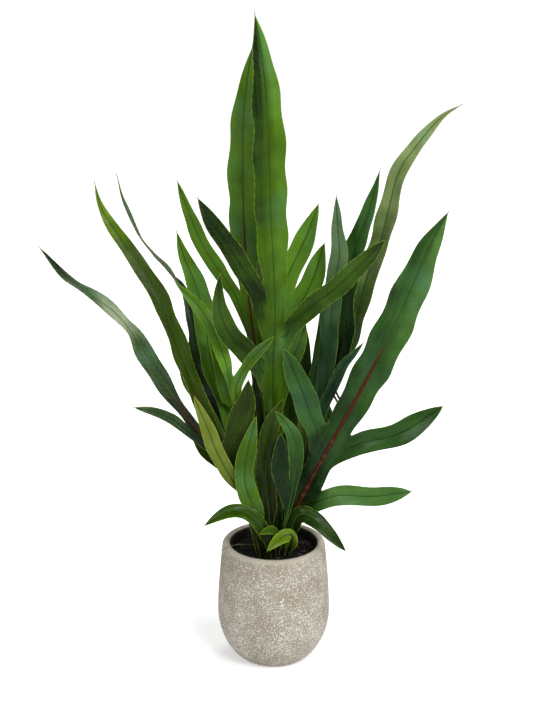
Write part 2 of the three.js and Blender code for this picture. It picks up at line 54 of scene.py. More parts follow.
METRE = 1000  # mm, what a pattern's Scale of 1 spans
LEFT = -1
RIGHT = 1
UP = Vector((0, 0, 1))

# Pot and soil, as in the part's source.
POT_HEIGHT = 154
POT_FOOT_RADIUS = 40
POT_BELLY_RADIUS = 70
POT_BELLY_HEIGHT = 63
POT_RIM_RADIUS = 63.5
POT_WALL = 11
POT_FLOOR = 14
LIP_RADIUS = 5.5
FOOT_ROUND = 2.05  # powers that shape the wall from foot to belly
FOOT_FLARE = 0.75
RIM_DRAW = 1.5  # power that draws it in from belly to rim
SOIL_EDGE = 141
SOIL_CROWN = 143
SEAT_GAP = 0.3

# Blades, as in the part's source, drawn with rows at half its spacing.
STATION = 22
FEWEST_STATIONS = 3
STALK_HALF_WIDTH = 2
SHOULDER = 60  # over which a stalk widens into its wings
SWEEP = 0.6  # how far a wing's margin leans towards the tip, against its half width
FOLD = 0.16  # how far a margin stands out of the blade, against its half width
WAVE_LENGTH = 86
WAVE_SHARE = 0.15  # height of a margin's waves, against its half width
WAVE_STEP = 2.4  # radians from one margin's waves to the next one's
FROND_STEP = 4.8  # and from one frond's to the next one's
NECK = 0.72  # width of a strap's neck, as a share of its greatest width
WIDEST = 0.42  # share of its length where it is widest
BLADE_TAPER = 2.6  # how blunt a tip is
LOBE_TAPER = 3
RUFFLE = 0.08  # share by which a half width swings
RUFFLE_LENGTH = 61
RUFFLE_TURN = 1.9  # how much faster these swings shift than the waves
ROOT_CLEAR = 5  # from the wing to a lobe's first row of its own
TURN_FROM = 0.25  # shares of a rib between which its blade turns
TURN_TO = 0.65
FACE = (0, -1, 0.15)  # where most blades look

TIP_GAPS = (0.25, 0.09, 0)  # stations from a tip to its nearest rows
FIVE_ACROSS = (1, 0.5, 0, -0.5, -1)  # a row's points, as shares of the half width

Point = tuple[float, float, float]
Mark = tuple[int, tuple[float, float]]  # a cage point's number with its strap coordinates
Colour = tuple[float, float, float, float]
Material = bpy.types.Material
Mesh = bpy.types.Mesh
Piece = bpy.types.Object
Node = bpy.types.Node
Tree = bpy.types.NodeTree
Socket = bpy.types.NodeSocket
Layer = tuple[Socket, float, float, float, str]

log = logging.getLogger("fern")


# ---- Finishes ----


def linear(colour: str) -> Colour:
    """Turns an sRGB hex colour into linear light.

    Args:
        colour: the colour as "#rrggbb".

    Returns:
        Red, green, blue and an alpha of 1.
    """
    shares = [int(colour[i : i + 2], 16) / 255 for i in (1, 3, 5)]
    lit = [s / 12.92 if s <= 0.04045 else ((s + 0.055) / 1.055) ** 2.4 for s in shares]
    return (*lit, 1.0)


def set_inputs(tree: Tree, node: Node, inputs: dict | Sequence) -> None:
    """Links or sets a node's inputs.

    Args:
        tree: the node's tree.
        node: the node.
        inputs: a socket to link from or a value to set for each input, in order or by name or number.
    """
    for key, value in inputs.items() if isinstance(inputs, dict) else enumerate(inputs):
        if isinstance(value, Socket):
            tree.links.new(value, node.inputs[key])
        else:
            node.inputs[key].default_value = value


def add_node(tree: Tree, kind: str, inputs: dict | Sequence = (), output: int | str = 0,
             **settings) -> Socket:
    """Adds a node with its settings, and links or sets its inputs.

    Args:
        tree: the material's node tree.
        kind: the node's type, without "ShaderNode".
        inputs: as set_inputs takes them.
        output: the name or number of the output that is wanted.
        **settings: the node's own properties.

    Returns:
        That output.
    """
    node = tree.nodes.new("ShaderNode" + kind)
    for name, value in settings.items():
        setattr(node, name, value)
    set_inputs(tree, node, inputs)
    return node.outputs[output]


def new_material(name: str) -> tuple[Material, Tree, Node]:
    """Starts a material.

    Args:
        name: the real material's name.

    Returns:
        The material, its node tree and its surface shader.
    """
    material = bpy.data.materials.new(name)
    material.use_nodes = True
    tree = material.node_tree
    return material, tree, tree.nodes["Principled BSDF"]


def lay_over(tree: Tree, ground: Socket | Colour, layers: Sequence[Layer]) -> Socket:
    """Lays colours over a ground, one after the other.

    Args:
        tree: the material's node tree.
        ground: the colour underneath.
        layers: for each, the pattern that places it, the pattern's values where it starts to show
            and where it shows most, its greatest share, and its colour.

    Returns:
        The finished colour.
    """
    for pattern, bare, full, share, shade in layers:
        cover = add_node(tree, "MapRange", (pattern, bare, full, 0.0, share))
        ground = add_node(
            tree, "Mix", {0: cover, 6: ground, 7: linear(shade)}, data_type="RGBA", output=2
        )
    return ground


@dataclass(frozen=True)
class LeafFinish:
    """Living fern leaf: a waxy skin over soft green tissue, so it is satin, with a paler underside.

    The blade is drawn from its own strap coordinates in mm: across from the midrib, and along it.
    """

    slot: str
    name: str
    upper: str
    deep: str
    light: str
    under: str
    margin: str
    sheen_amount: float = 0.3  # greatest share of the painted bluish sheen

    BLOTCH = 34  # mm, size of the soft patches of deeper and lighter green
    SPAN = (0.3, 0.7)  # the middle of a noise's values, over which its patches change
    BLOTCH_SHIFT = (-0.3, 0.28)  # how far they take the frond's tone, painted light and shade included, down and up
    UNDER_DEPTH = 0.5  # greatest share of the deep colour on the underside, which is paler all over
    STREAK = 2.6  # mm, width of the streaks along the strap
    STREAK_STRETCH = 0.06  # how fast they change along the strap, against across it
    CREASE_SHADE = (1.08, 0.45)  # mm from the midrib, where the painted shade in its crease starts and is darkest
    SIDE_VEIN_PITCH = 7.5  # mm between side veins
    SIDE_VEIN_SLANT = 0.9  # mm that they climb for each mm across
    SIDE_VEIN_SPAN = (0.75, 1.0)  # the crest of each wave that is vein
    VEIN_RELIEF = 0.4  # height of a side vein against a streak
    RELIEF = 0.5  # mm
    MARGIN = (0.9, 0.225)  # mm from the edge, where its pale line starts and is palest: the edge's own paler green, partly painted light shining through it
    BLOOM = "#4a7a5c"  # painted sheen: a bluish reflection of the light, laid on as colour
    SHEEN_SIZE = 48  # mm
    SHEEN_SPAN = (0.5, 0.7)  # the noise's values where the painted sheen starts and is strongest
    SHEEN_TONES = (-0.8, 0.1)  # the blade's tones where it starts and is strongest, so that none lies in the deepest shade
    GLOSS_SIZE = 9  # mm, patches of duller skin
    GLOSS = ((0.27, 0.42), (0.5, 0.66))  # roughness from and to: upper side, then underside
    IOR = 1.45
    SPECULAR = 0.16

    def colour(self, tree: Tree, place: Socket, across: Socket, streaks: Socket, side_vein: Socket,
               underside: bool) -> Socket:
        """Lays the blade's colours over each other.

        Args:
            tree: the material's node tree.
            place: object coordinates.
            across: distance from the midrib, in mm.
            streaks: the streaks along the strap, 0 to 1.
            side_vein: 1 on a side vein.
            underside: True for the lower face.

        Returns:
            The colour.
        """
        patches, sheen_amount = (
            add_node(tree, "TexNoise", {"Vector": place, "Scale": METRE / size, "Detail": detail})
            for size, detail in ((self.BLOTCH, 2.0), (self.SHEEN_SIZE, 1.0))
        )
        tone, rim = (
            add_node(tree, "Attribute", attribute_name=name, output="Fac")
            for name in ("tone", "rim_mm")
        )
        shift = add_node(tree, "MapRange", (patches, *self.SPAN, *self.BLOTCH_SHIFT))
        level = add_node(tree, "Math", (tone, shift), operation="ADD")
        # The painted sheen lies in patches of its own, and not on the deepest, most shaded stretches.
        thick = add_node(tree, "MapRange", (sheen_amount, *self.SHEEN_SPAN))
        open_tone = add_node(tree, "MapRange", (tone, *self.SHEEN_TONES))
        sheen = add_node(tree, "Math", (thick, open_tone), operation="MULTIPLY")
        return lay_over(tree, linear(self.under if underside else self.upper), (
            (level, 0.0, 1.0, 1.0, self.light),
            (level, 0.0, -1.0, self.UNDER_DEPTH if underside else 1.0, self.deep),
            # painted sheen
            (sheen, 0.0, 1.0, self.sheen_amount, self.BLOOM),
            (streaks, 0.45, 0.8, 0.14, self.light),
            (streaks, 0.5, 0.2, 0.1, self.deep),
            (side_vein, 0.0, 1.0, 0.05, self.light),
            # painted shade in the crease along the midrib
            (across, *self.CREASE_SHADE, 0.6, self.deep),
            # the pale margin: its own paler green, with painted light through the thin edge
            (rim, *self.MARGIN, 0.55, self.margin),
        ))

    def material(self, underside: bool) -> Material:
        """Makes the finish of one face of the leaf.

        Args:
            underside: True for the paler and duller lower face.

        Returns:
            The material.
        """
        side = "underside" if underside else "upper side"
        material, tree, shader = new_material(f"{self.name}, {side}")
        place = add_node(tree, "TexCoord", output="Object")
        strap = add_node(tree, "UVMap", uv_map="strap")
        parts = add_node(tree, "SeparateXYZ", (strap,)).node.outputs
        across = add_node(tree, "Math", (parts["X"],), operation="ABSOLUTE")
        # Streaks run along the strap, as the tissue grew.
        pace = (1 / self.STREAK, self.STREAK_STRETCH / self.STREAK, 0)
        run = add_node(tree, "VectorMath", (strap, pace), operation="MULTIPLY")
        streaks = add_node(tree, "TexNoise", {"Vector": run, "Scale": 1.0, "Detail": 3.0})
        # Side veins leave the midrib at a slant.
        slant = add_node(
            tree, "Math", (across, -self.SIDE_VEIN_SLANT, parts["Y"]), operation="MULTIPLY_ADD"
        )
        turn = add_node(tree, "Math", (slant, 2 * math.pi / self.SIDE_VEIN_PITCH), operation="MULTIPLY")
        wave = add_node(tree, "Math", (turn,), operation="SINE")
        side_vein = add_node(tree, "MapRange", (wave, *self.SIDE_VEIN_SPAN))
        grain = add_node(
            tree, "TexNoise", {"Vector": place, "Scale": METRE / self.GLOSS_SIZE, "Detail": 3.0}
        )
        height = add_node(tree, "Math", (side_vein, self.VEIN_RELIEF, streaks), operation="MULTIPLY_ADD")
        relief = {"Strength": 0.4, "Distance": self.RELIEF * MM, "Height": height}
        set_inputs(tree, shader, {
            "Base Color": self.colour(tree, place, across, streaks, side_vein, underside),
            "Roughness": add_node(tree, "MapRange", (grain, *self.SPAN, *self.GLOSS[underside])),
            "IOR": self.IOR,
            "Specular IOR Level": self.SPECULAR,
            "Normal": add_node(tree, "Bump", relief),
        })
        return material


class Leaf(Enum):
    """The fern's leaf colours: the fronds differ in age, and the finishes also hold painted light and
    shade for how each frond faces the lamps and how deep in the clump it stands.
    """

    GREEN = LeafFinish(
        "frond_green", "Fern leaf, mid green", "#365400", "#081c00", "#568020", "#56713c", "#7c9a2c",
        sheen_amount=0.22)
    BLUE_GREEN = LeafFinish(
        "frond_blue_green", "Fern leaf, blue green", "#2c501a", "#041c02", "#507634", "#526a46", "#708c34")
    TEAL = LeafFinish(
        "frond_blue_green", "Fern leaf, teal green", "#264628", "#001c0e", "#5e744c", "#526a46", "#708c34")
    # Its light colour is pale as a painted sheen on a lit tip.
    GREY_GREEN = LeafFinish(
        "frond_grey_green", "Fern leaf, grey green", "#4a6228", "#182e06", "#93a56c", "#70805a", "#8a9a50")
    OLIVE = LeafFinish(
        "frond_olive", "Fern leaf, olive", "#2c4200", "#0c1400", "#628416", "#5a6a30", "#8a9a2c",
        sheen_amount=0.05)
    PALE_OLIVE = LeafFinish(
        "frond_olive", "Fern leaf, pale olive", "#56661a", "#202c02", "#808e40", "#74803c", "#9aa648",
        sheen_amount=0.0)
    # The darkest finish, for fronds deep in the clump or turned from the lamps: partly painted shade.
    DARK = LeafFinish(
        "frond_dark", "Fern leaf, dark green", "#1e3604", "#060e00", "#4c6630", "#5c6c4c", "#708632")
    # Its light colour is a painted sheen: the pale band where a blade twists to face the lamps.
    BLOOM = LeafFinish(
        "frond_dark", "Fern leaf, dark green with a pale bloom", "#304824", "#061c06", "#98a584",
        "#6c7c58", "#8a9a5c")
    BRIGHT = LeafFinish(
        "frond_bright", "Fern leaf, bright green", "#365600", "#0e1c00", "#588420", "#62803c", "#86a634")
    YELLOW = LeafFinish(
        "leaf_yellow_green", "Young fern leaf, yellow green", "#4e6a02", "#243a00", "#86a014", "#74862e",
        "#a4b438", sheen_amount=0.0)


@dataclass(frozen=True)
class RibFinish:
    """A leaf's rib: smooth and woody, red-brown where it is old and green towards the tip."""

    name: str = "Fern rib, red-brown to green"
    green: str = "#2c4a0c"
    # the stalk's foot, near black: painted shade deep in the crown
    dark: str = "#0e1602"
    red: str = "#421406"
    pale: str = "#602a14"
    scar: str = "#84522e"

    FLECK = 4  # mm, size of the paler flecks
    ROUGHNESS = 0.45
    SPECULAR = 0.15

    def material(self) -> Material:
        """Makes the rib's material, which reads its redness from the attribute "tone".

        Returns:
            The new material.
        """
        material, tree, shader = new_material(self.name)
        place = add_node(tree, "TexCoord", output="Object")
        flecks = add_node(tree, "TexNoise", {"Vector": place, "Scale": METRE / self.FLECK, "Detail": 3.0})
        woody = lay_over(tree, linear(self.red), ((flecks, 0.4, 0.7, 0.4, self.pale),))
        redness = add_node(tree, "Attribute", attribute_name="tone", output="Fac")
        grown = add_node(
            tree, "Mix", {0: redness, 6: linear(self.green), 7: woody}, data_type="RGBA", output=2
        )
        # Above 1 the attribute marks a pale scar, and below 0 the stalk's foot, painted dark as painted
        # shade in the crown.
        marks = ((redness, 1.0, 1.7, 1.0, self.scar), (redness, 0.0, -0.8, 1.0, self.dark))
        set_inputs(tree, shader, {
            "Base Color": lay_over(tree, grown, marks),
            "Roughness": self.ROUGHNESS,
            "Specular IOR Level": self.SPECULAR,
        })
        return material


@dataclass(frozen=True)
class CementFinish:
    """Cast cement with fine pale aggregate, unglazed: matt, speckled, with small open pits."""

    name: str = "Cast cement, speckled"
    body: str = "#958d7e"
    warm: str = "#877e6e"
    pale: str = "#aaa394"
    fleck: str = "#ece9e0"
    pit: str = "#5a5242"
    # the lip's top, paler: painted light from above
    lip: str = "#aca595"
    # the wall inside the mouth: painted shade, with the moist soil's stain
    shade_and_damp: str = "#16130d"

    CLOUD = 30  # mm, patches of moister and drier cement
    GRAIN = 2.0  # mm, size of the sandy grain
    FLECK = 1.4  # mm between flecks of aggregate
    BEND = 5.0  # mm, over which the flecks bend
    BENT = 0.006  # share of that bend in a fleck's place
    SQUIGGLE = 2.1  # mm, size of the curls that long bits of aggregate make
    BREAK = 1.7  # mm, over which a curl breaks off
    WITHOUT = 0.45  # share of the places that have no fleck
    SOFT = 0.08  # how softly a fleck ends
    KEPT = (0.68, 0.74)  # the densities where a curl starts and is whole
    LINE = (0.13, 0.06)  # how near a curl's middle its line starts and is full
    PIT = 1.7  # mm between pits
    PIT_EDGE = (0.28, 0.16)  # how near a pit's middle it starts and is full
    PIT_DEPTH = 0.6  # how deep it is there, and how dark its painted shade
    RELIEF = 0.5  # mm
    CLOUD_SHARE = 0.43  # how much the clouds decide where aggregate is dense
    LOW = (150, 20)  # mm up the pot, between which aggregate gets denser
    DENSITY = (0.04, 0.16)  # at these heights
    LIP_LIGHT = (148, 152)  # mm up the pot, where the painted light on the lip's top starts and is full
    INSIDE = (55.2, 54.2)  # mm from the axis, where the darkened wall inside starts and is full
    SHADE_AND_DAMP = (60, 80)  # mm up the pot, where the painted shade and the stain start and are full
    ROUGHNESS = 0.82

    def aggregate(self, tree: Tree, place: Socket, clouds: Socket,
                  height: Socket) -> tuple[Socket, Socket]:
        """Draws the pale bits in the cement, denser low on the pot and in the clouds.

        Args:
            tree: the material's node tree.
            place: object coordinates.
            clouds: the cement's clouds, 0 to 1.
            height: up the pot, in metres.

        Returns:
            Where short flecks lie, and where long ones lie as thin broken curls.
        """
        bend, parts = (
            add_node(tree, "TexNoise", {"Vector": place, "Scale": METRE / size, "Detail": detail})
            for size, detail in ((self.BEND, 2.0), (self.BREAK, 1.0))
        )
        curve = bend.node.outputs["Color"]
        bent = add_node(tree, "Mix", {0: self.BENT, 4: place, 5: curve}, data_type="VECTOR", output=1)
        cells, walls = (
            add_node(tree, "TexVoronoi", {"Vector": bent, "Scale": METRE / size}, feature=feature)
            for size, feature in ((self.FLECK, "F1"), (self.SQUIGGLE, "DISTANCE_TO_EDGE"))
        )
        top, bottom = (edge * MM for edge in self.LOW)
        low = add_node(tree, "MapRange", (height, top, bottom, *self.DENSITY))
        thick = add_node(tree, "Math", (clouds, self.CLOUD_SHARE, low), operation="MULTIPLY_ADD")
        size = add_node(tree, "Math", (thick, cells), operation="SUBTRACT")
        spot = add_node(tree, "MapRange", (size, 0.0, self.SOFT))
        pick = add_node(tree, "SeparateXYZ", (cells.node.outputs["Color"],), output="X")
        chosen = add_node(tree, "Math", (pick, self.WITHOUT), operation="GREATER_THAN")
        denser = add_node(tree, "Math", (thick, 0.5, parts), operation="MULTIPLY_ADD")
        kept = add_node(tree, "MapRange", (denser, *self.KEPT))
        line = add_node(tree, "MapRange", (walls, *self.LINE))
        flecks, curls = (
            add_node(tree, "Math", (mark, where), operation="MULTIPLY")
            for mark, where in ((spot, chosen), (line, kept))
        )
        return flecks, curls

    def shade_and_stain(self, tree: Tree, place: Socket, height: Socket) -> Socket:
        """Finds the wall inside, above the floor, that is painted near black: painted shade in the pot's
        mouth, with the moist soil's stain.

        Args:
            tree: the material's node tree.
            place: object coordinates.
            height: up the pot, in metres.

        Returns:
            1 on that wall.
        """
        flat = add_node(tree, "VectorMath", (place, (1, 1, 0)), operation="MULTIPLY")
        reach = add_node(tree, "VectorMath", (flat,), operation="LENGTH", output="Value")
        inside, upper = (
            add_node(tree, "MapRange", (value, start * MM, full * MM))
            for value, (start, full) in ((reach, self.INSIDE), (height, self.SHADE_AND_DAMP))
        )
        return add_node(tree, "Math", (inside, upper), operation="MULTIPLY")

    def material(self) -> Material:
        """Makes the pot's material.

        Returns:
            The new material.
        """
        material, tree, shader = new_material(self.name)
        place = add_node(tree, "TexCoord", output="Object")
        height = add_node(tree, "SeparateXYZ", (place,), output="Z")
        clouds, grain = (
            add_node(tree, "TexNoise", {
                "Vector": place, "Scale": METRE / size, "Detail": detail, "Roughness": roughness,
            })
            for size, detail, roughness in ((self.CLOUD, 5.0, 0.6), (self.GRAIN, 4.0, 0.7))
        )
        pits = add_node(tree, "TexVoronoi", {"Vector": place, "Scale": METRE / self.PIT}, feature="F1")
        pit = add_node(tree, "MapRange", (pits, *self.PIT_EDGE))
        flecks, curls = self.aggregate(tree, place, clouds, height)
        lit_from, lit_full = (edge * MM for edge in self.LIP_LIGHT)
        colour = lay_over(tree, linear(self.warm), (
            (clouds, 0.35, 0.65, 1.0, self.body),
            (grain, 0.45, 0.75, 0.7, self.pale),
            (flecks, 0.0, 1.0, 0.66, self.fleck),
            (curls, 0.0, 1.0, 0.9, self.fleck),
            # painted shade inside the pits
            (pit, 0.0, 1.0, self.PIT_DEPTH, self.pit),
            # painted light on the top of the lip
            (height, lit_from, lit_full, 0.7, self.lip),
            # painted shade inside the mouth, with the damp soil's stain
            (self.shade_and_stain(tree, place, height), 0.0, 1.0, 1.0, self.shade_and_damp),
        ))
        deep = add_node(tree, "Math", (pit, -self.PIT_DEPTH, grain), operation="MULTIPLY_ADD")
        relief = {"Strength": 0.5, "Distance": self.RELIEF * MM, "Height": deep}
        set_inputs(tree, shader, {
            "Base Color": colour,
            "Roughness": self.ROUGHNESS,
            "Normal": add_node(tree, "Bump", relief),
        })
        return material


@dataclass(frozen=True)
class SoilFinish:
    """Moist potting soil: peat and composted bark, nearly black, with browner crumbs."""

    name: str = "Potting soil, moist"
    dark: str = "#0b0906"
    brown: str = "#1e1810"
    grain: float = 3.0  # mm

    ROUGHNESS = 0.85
    SPECULAR = 0.2
    RELIEF = 1.5  # mm

    def material(self) -> Material:
        """Makes the soil's material.

        Returns:
            The new material.
        """
        material, tree, shader = new_material(self.name)
        place = add_node(tree, "TexCoord", output="Object")
        crumbs = add_node(
            tree, "TexNoise",
            {"Vector": place, "Scale": METRE / self.grain, "Detail": 6.0, "Roughness": 0.7},
        )
        relief = {"Strength": 0.9, "Distance": self.RELIEF * MM, "Height": crumbs}
        set_inputs(tree, shader, {
            "Base Color": lay_over(tree, linear(self.dark), ((crumbs, 0.48, 0.72, 1.0, self.brown),)),
            "Roughness": self.ROUGHNESS,
            "Specular IOR Level": self.SPECULAR,
            "Normal": add_node(tree, "Bump", relief),
        })
        return material


@dataclass(frozen=True)
class PlainFinish:
    """A small matt thing of one kind, a little uneven in colour."""

    name: str
    dark: str
    light: str
    size: float = 3.0  # mm

    ROUGHNESS = 0.8

    def material(self) -> Material:
        """Makes the material.

        Returns:
            The new material.
        """
        material, tree, shader = new_material(self.name)
        place = add_node(tree, "TexCoord", output="Object")
        patches = add_node(tree, "TexNoise", {"Vector": place, "Scale": METRE / self.size, "Detail": 4.0})
        set_inputs(tree, shader, {
            "Base Color": lay_over(tree, linear(self.dark), ((patches, 0.35, 0.65, 1.0, self.light),)),
            "Roughness": self.ROUGHNESS,
        })
        return material


# ---- Blender's tools, as by hand ----


def select_only(piece: Piece) -> None:
    """Deselects all and makes one piece active."""
    bpy.ops.object.select_all(action="DESELECT")
    piece.select_set(True)
    bpy.context.view_layer.objects.active = piece


def apply_modifier(piece: Piece, kind: str, **settings) -> None:
    """Adds a modifier to a piece and applies it.

    Args:
        piece: the object.
        kind: the modifier's type.
        **settings: the modifier's properties.
    """
    select_only(piece)
    bpy.ops.object.modifier_add(type=kind)
    modifier = piece.modifiers[-1]
    for name, value in settings.items():
        setattr(modifier, name, value)
    bpy.ops.object.modifier_apply(modifier=modifier.name)


def seat(piece: Piece, nodes: Sequence[str]) -> None:
    """Puts a finished piece in the frame.

    Args:
        piece: the object, in its place.
        nodes: the CAD nodes that it stands for.
    """
    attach(piece, "root")
    if nodes:
        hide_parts(*nodes)
    log.info("%s: %d faces", piece.name, len(piece.data.polygons))


def smooth_step(value: float) -> float:
    """Eases from 0 to 1 while value goes from 0 to 1."""
    share = min(max(value, 0.0), 1.0)
    return share * share * (3 - 2 * share)


def nearest_whole(value: float) -> int:
    """Rounds halves up, as the part's source does."""
    return math.floor(value + 0.5)


def value_at(values: Sequence[float], share: float) -> float:
    """The value at a share of a run, from values at equal steps along it."""
    spot = share * (len(values) - 1)
    first = min(int(spot), len(values) - 2)
    return values[first] + (values[first + 1] - values[first]) * (spot - first)


def add_piece(mesh: Mesh) -> Piece:
    """Adds an object for a mesh, under the same name."""
    piece = bpy.data.objects.new(mesh.name, mesh)
    bpy.context.collection.objects.link(piece)
    return piece


# ---- Fronds ----


@dataclass(frozen=True)
class Dress:
    """How a frond is coloured.

    leaf is its finish; tones are at equal steps from foot to tip, from -1 deep to 1 light, and hold
    painted light and shade along with the frond's own colour: lower where a stretch lies in shade or
    turns from the lamps, higher where it catches them; lobes is each lobe's tone, which holds painted
    light and shade in the same way; lean is painted light across the blade: how much lighter the right
    half is at the tip than the left, as a share of a tone step each way; red is the share of the rib's
    length that is red-brown; stout is how thick the rib is, as a multiple of a common one; ridge is what
    the red part of the rib adds to its radius, in mm; nubs are the places along the rib, in mm, of its
    small scars.
    """

    leaf: Leaf
    tones: tuple[float, ...]
    lobes: tuple[float, ...] = ()
    lean: float = 0.0
    red: float = 0.0
    stout: float = 1.0
    ridge: float = 0.0
    nubs: tuple[float, ...] = ()


@dataclass(frozen=True)
class Lobe:
    """A side lobe: it leaves the rib "at" this distance along it and runs through its points."""

    side: int
    at: float
    width: float
    points: tuple[Point, ...]
    taper: float = LOBE_TAPER


@dataclass(frozen=True)
class Frond:
    """A frond's look and its own sizes, as in the part's source.

    dress is how it is coloured, root its place in the soil, rib the midrib's points from there to the
    tip, blade the greatest width of the end lobe, wing the half width of the wings between lobes, stalk
    the bare length, taper how blunt its tip is, face where the blade looks, turn the twist at the tip
    in degrees, and turned the shares of the rib between which it turns.
    """

    name: str
    dress: Dress
    root: tuple[float, float]
    rib: tuple[Point, ...]
    blade: float
    wing: float
    stalk: float
    taper: float = BLADE_TAPER
    face: Point = FACE
    turn: float = 0.0
    turned: tuple[float, float] = (TURN_FROM, TURN_TO)
    lobes: tuple[Lobe, ...] = ()


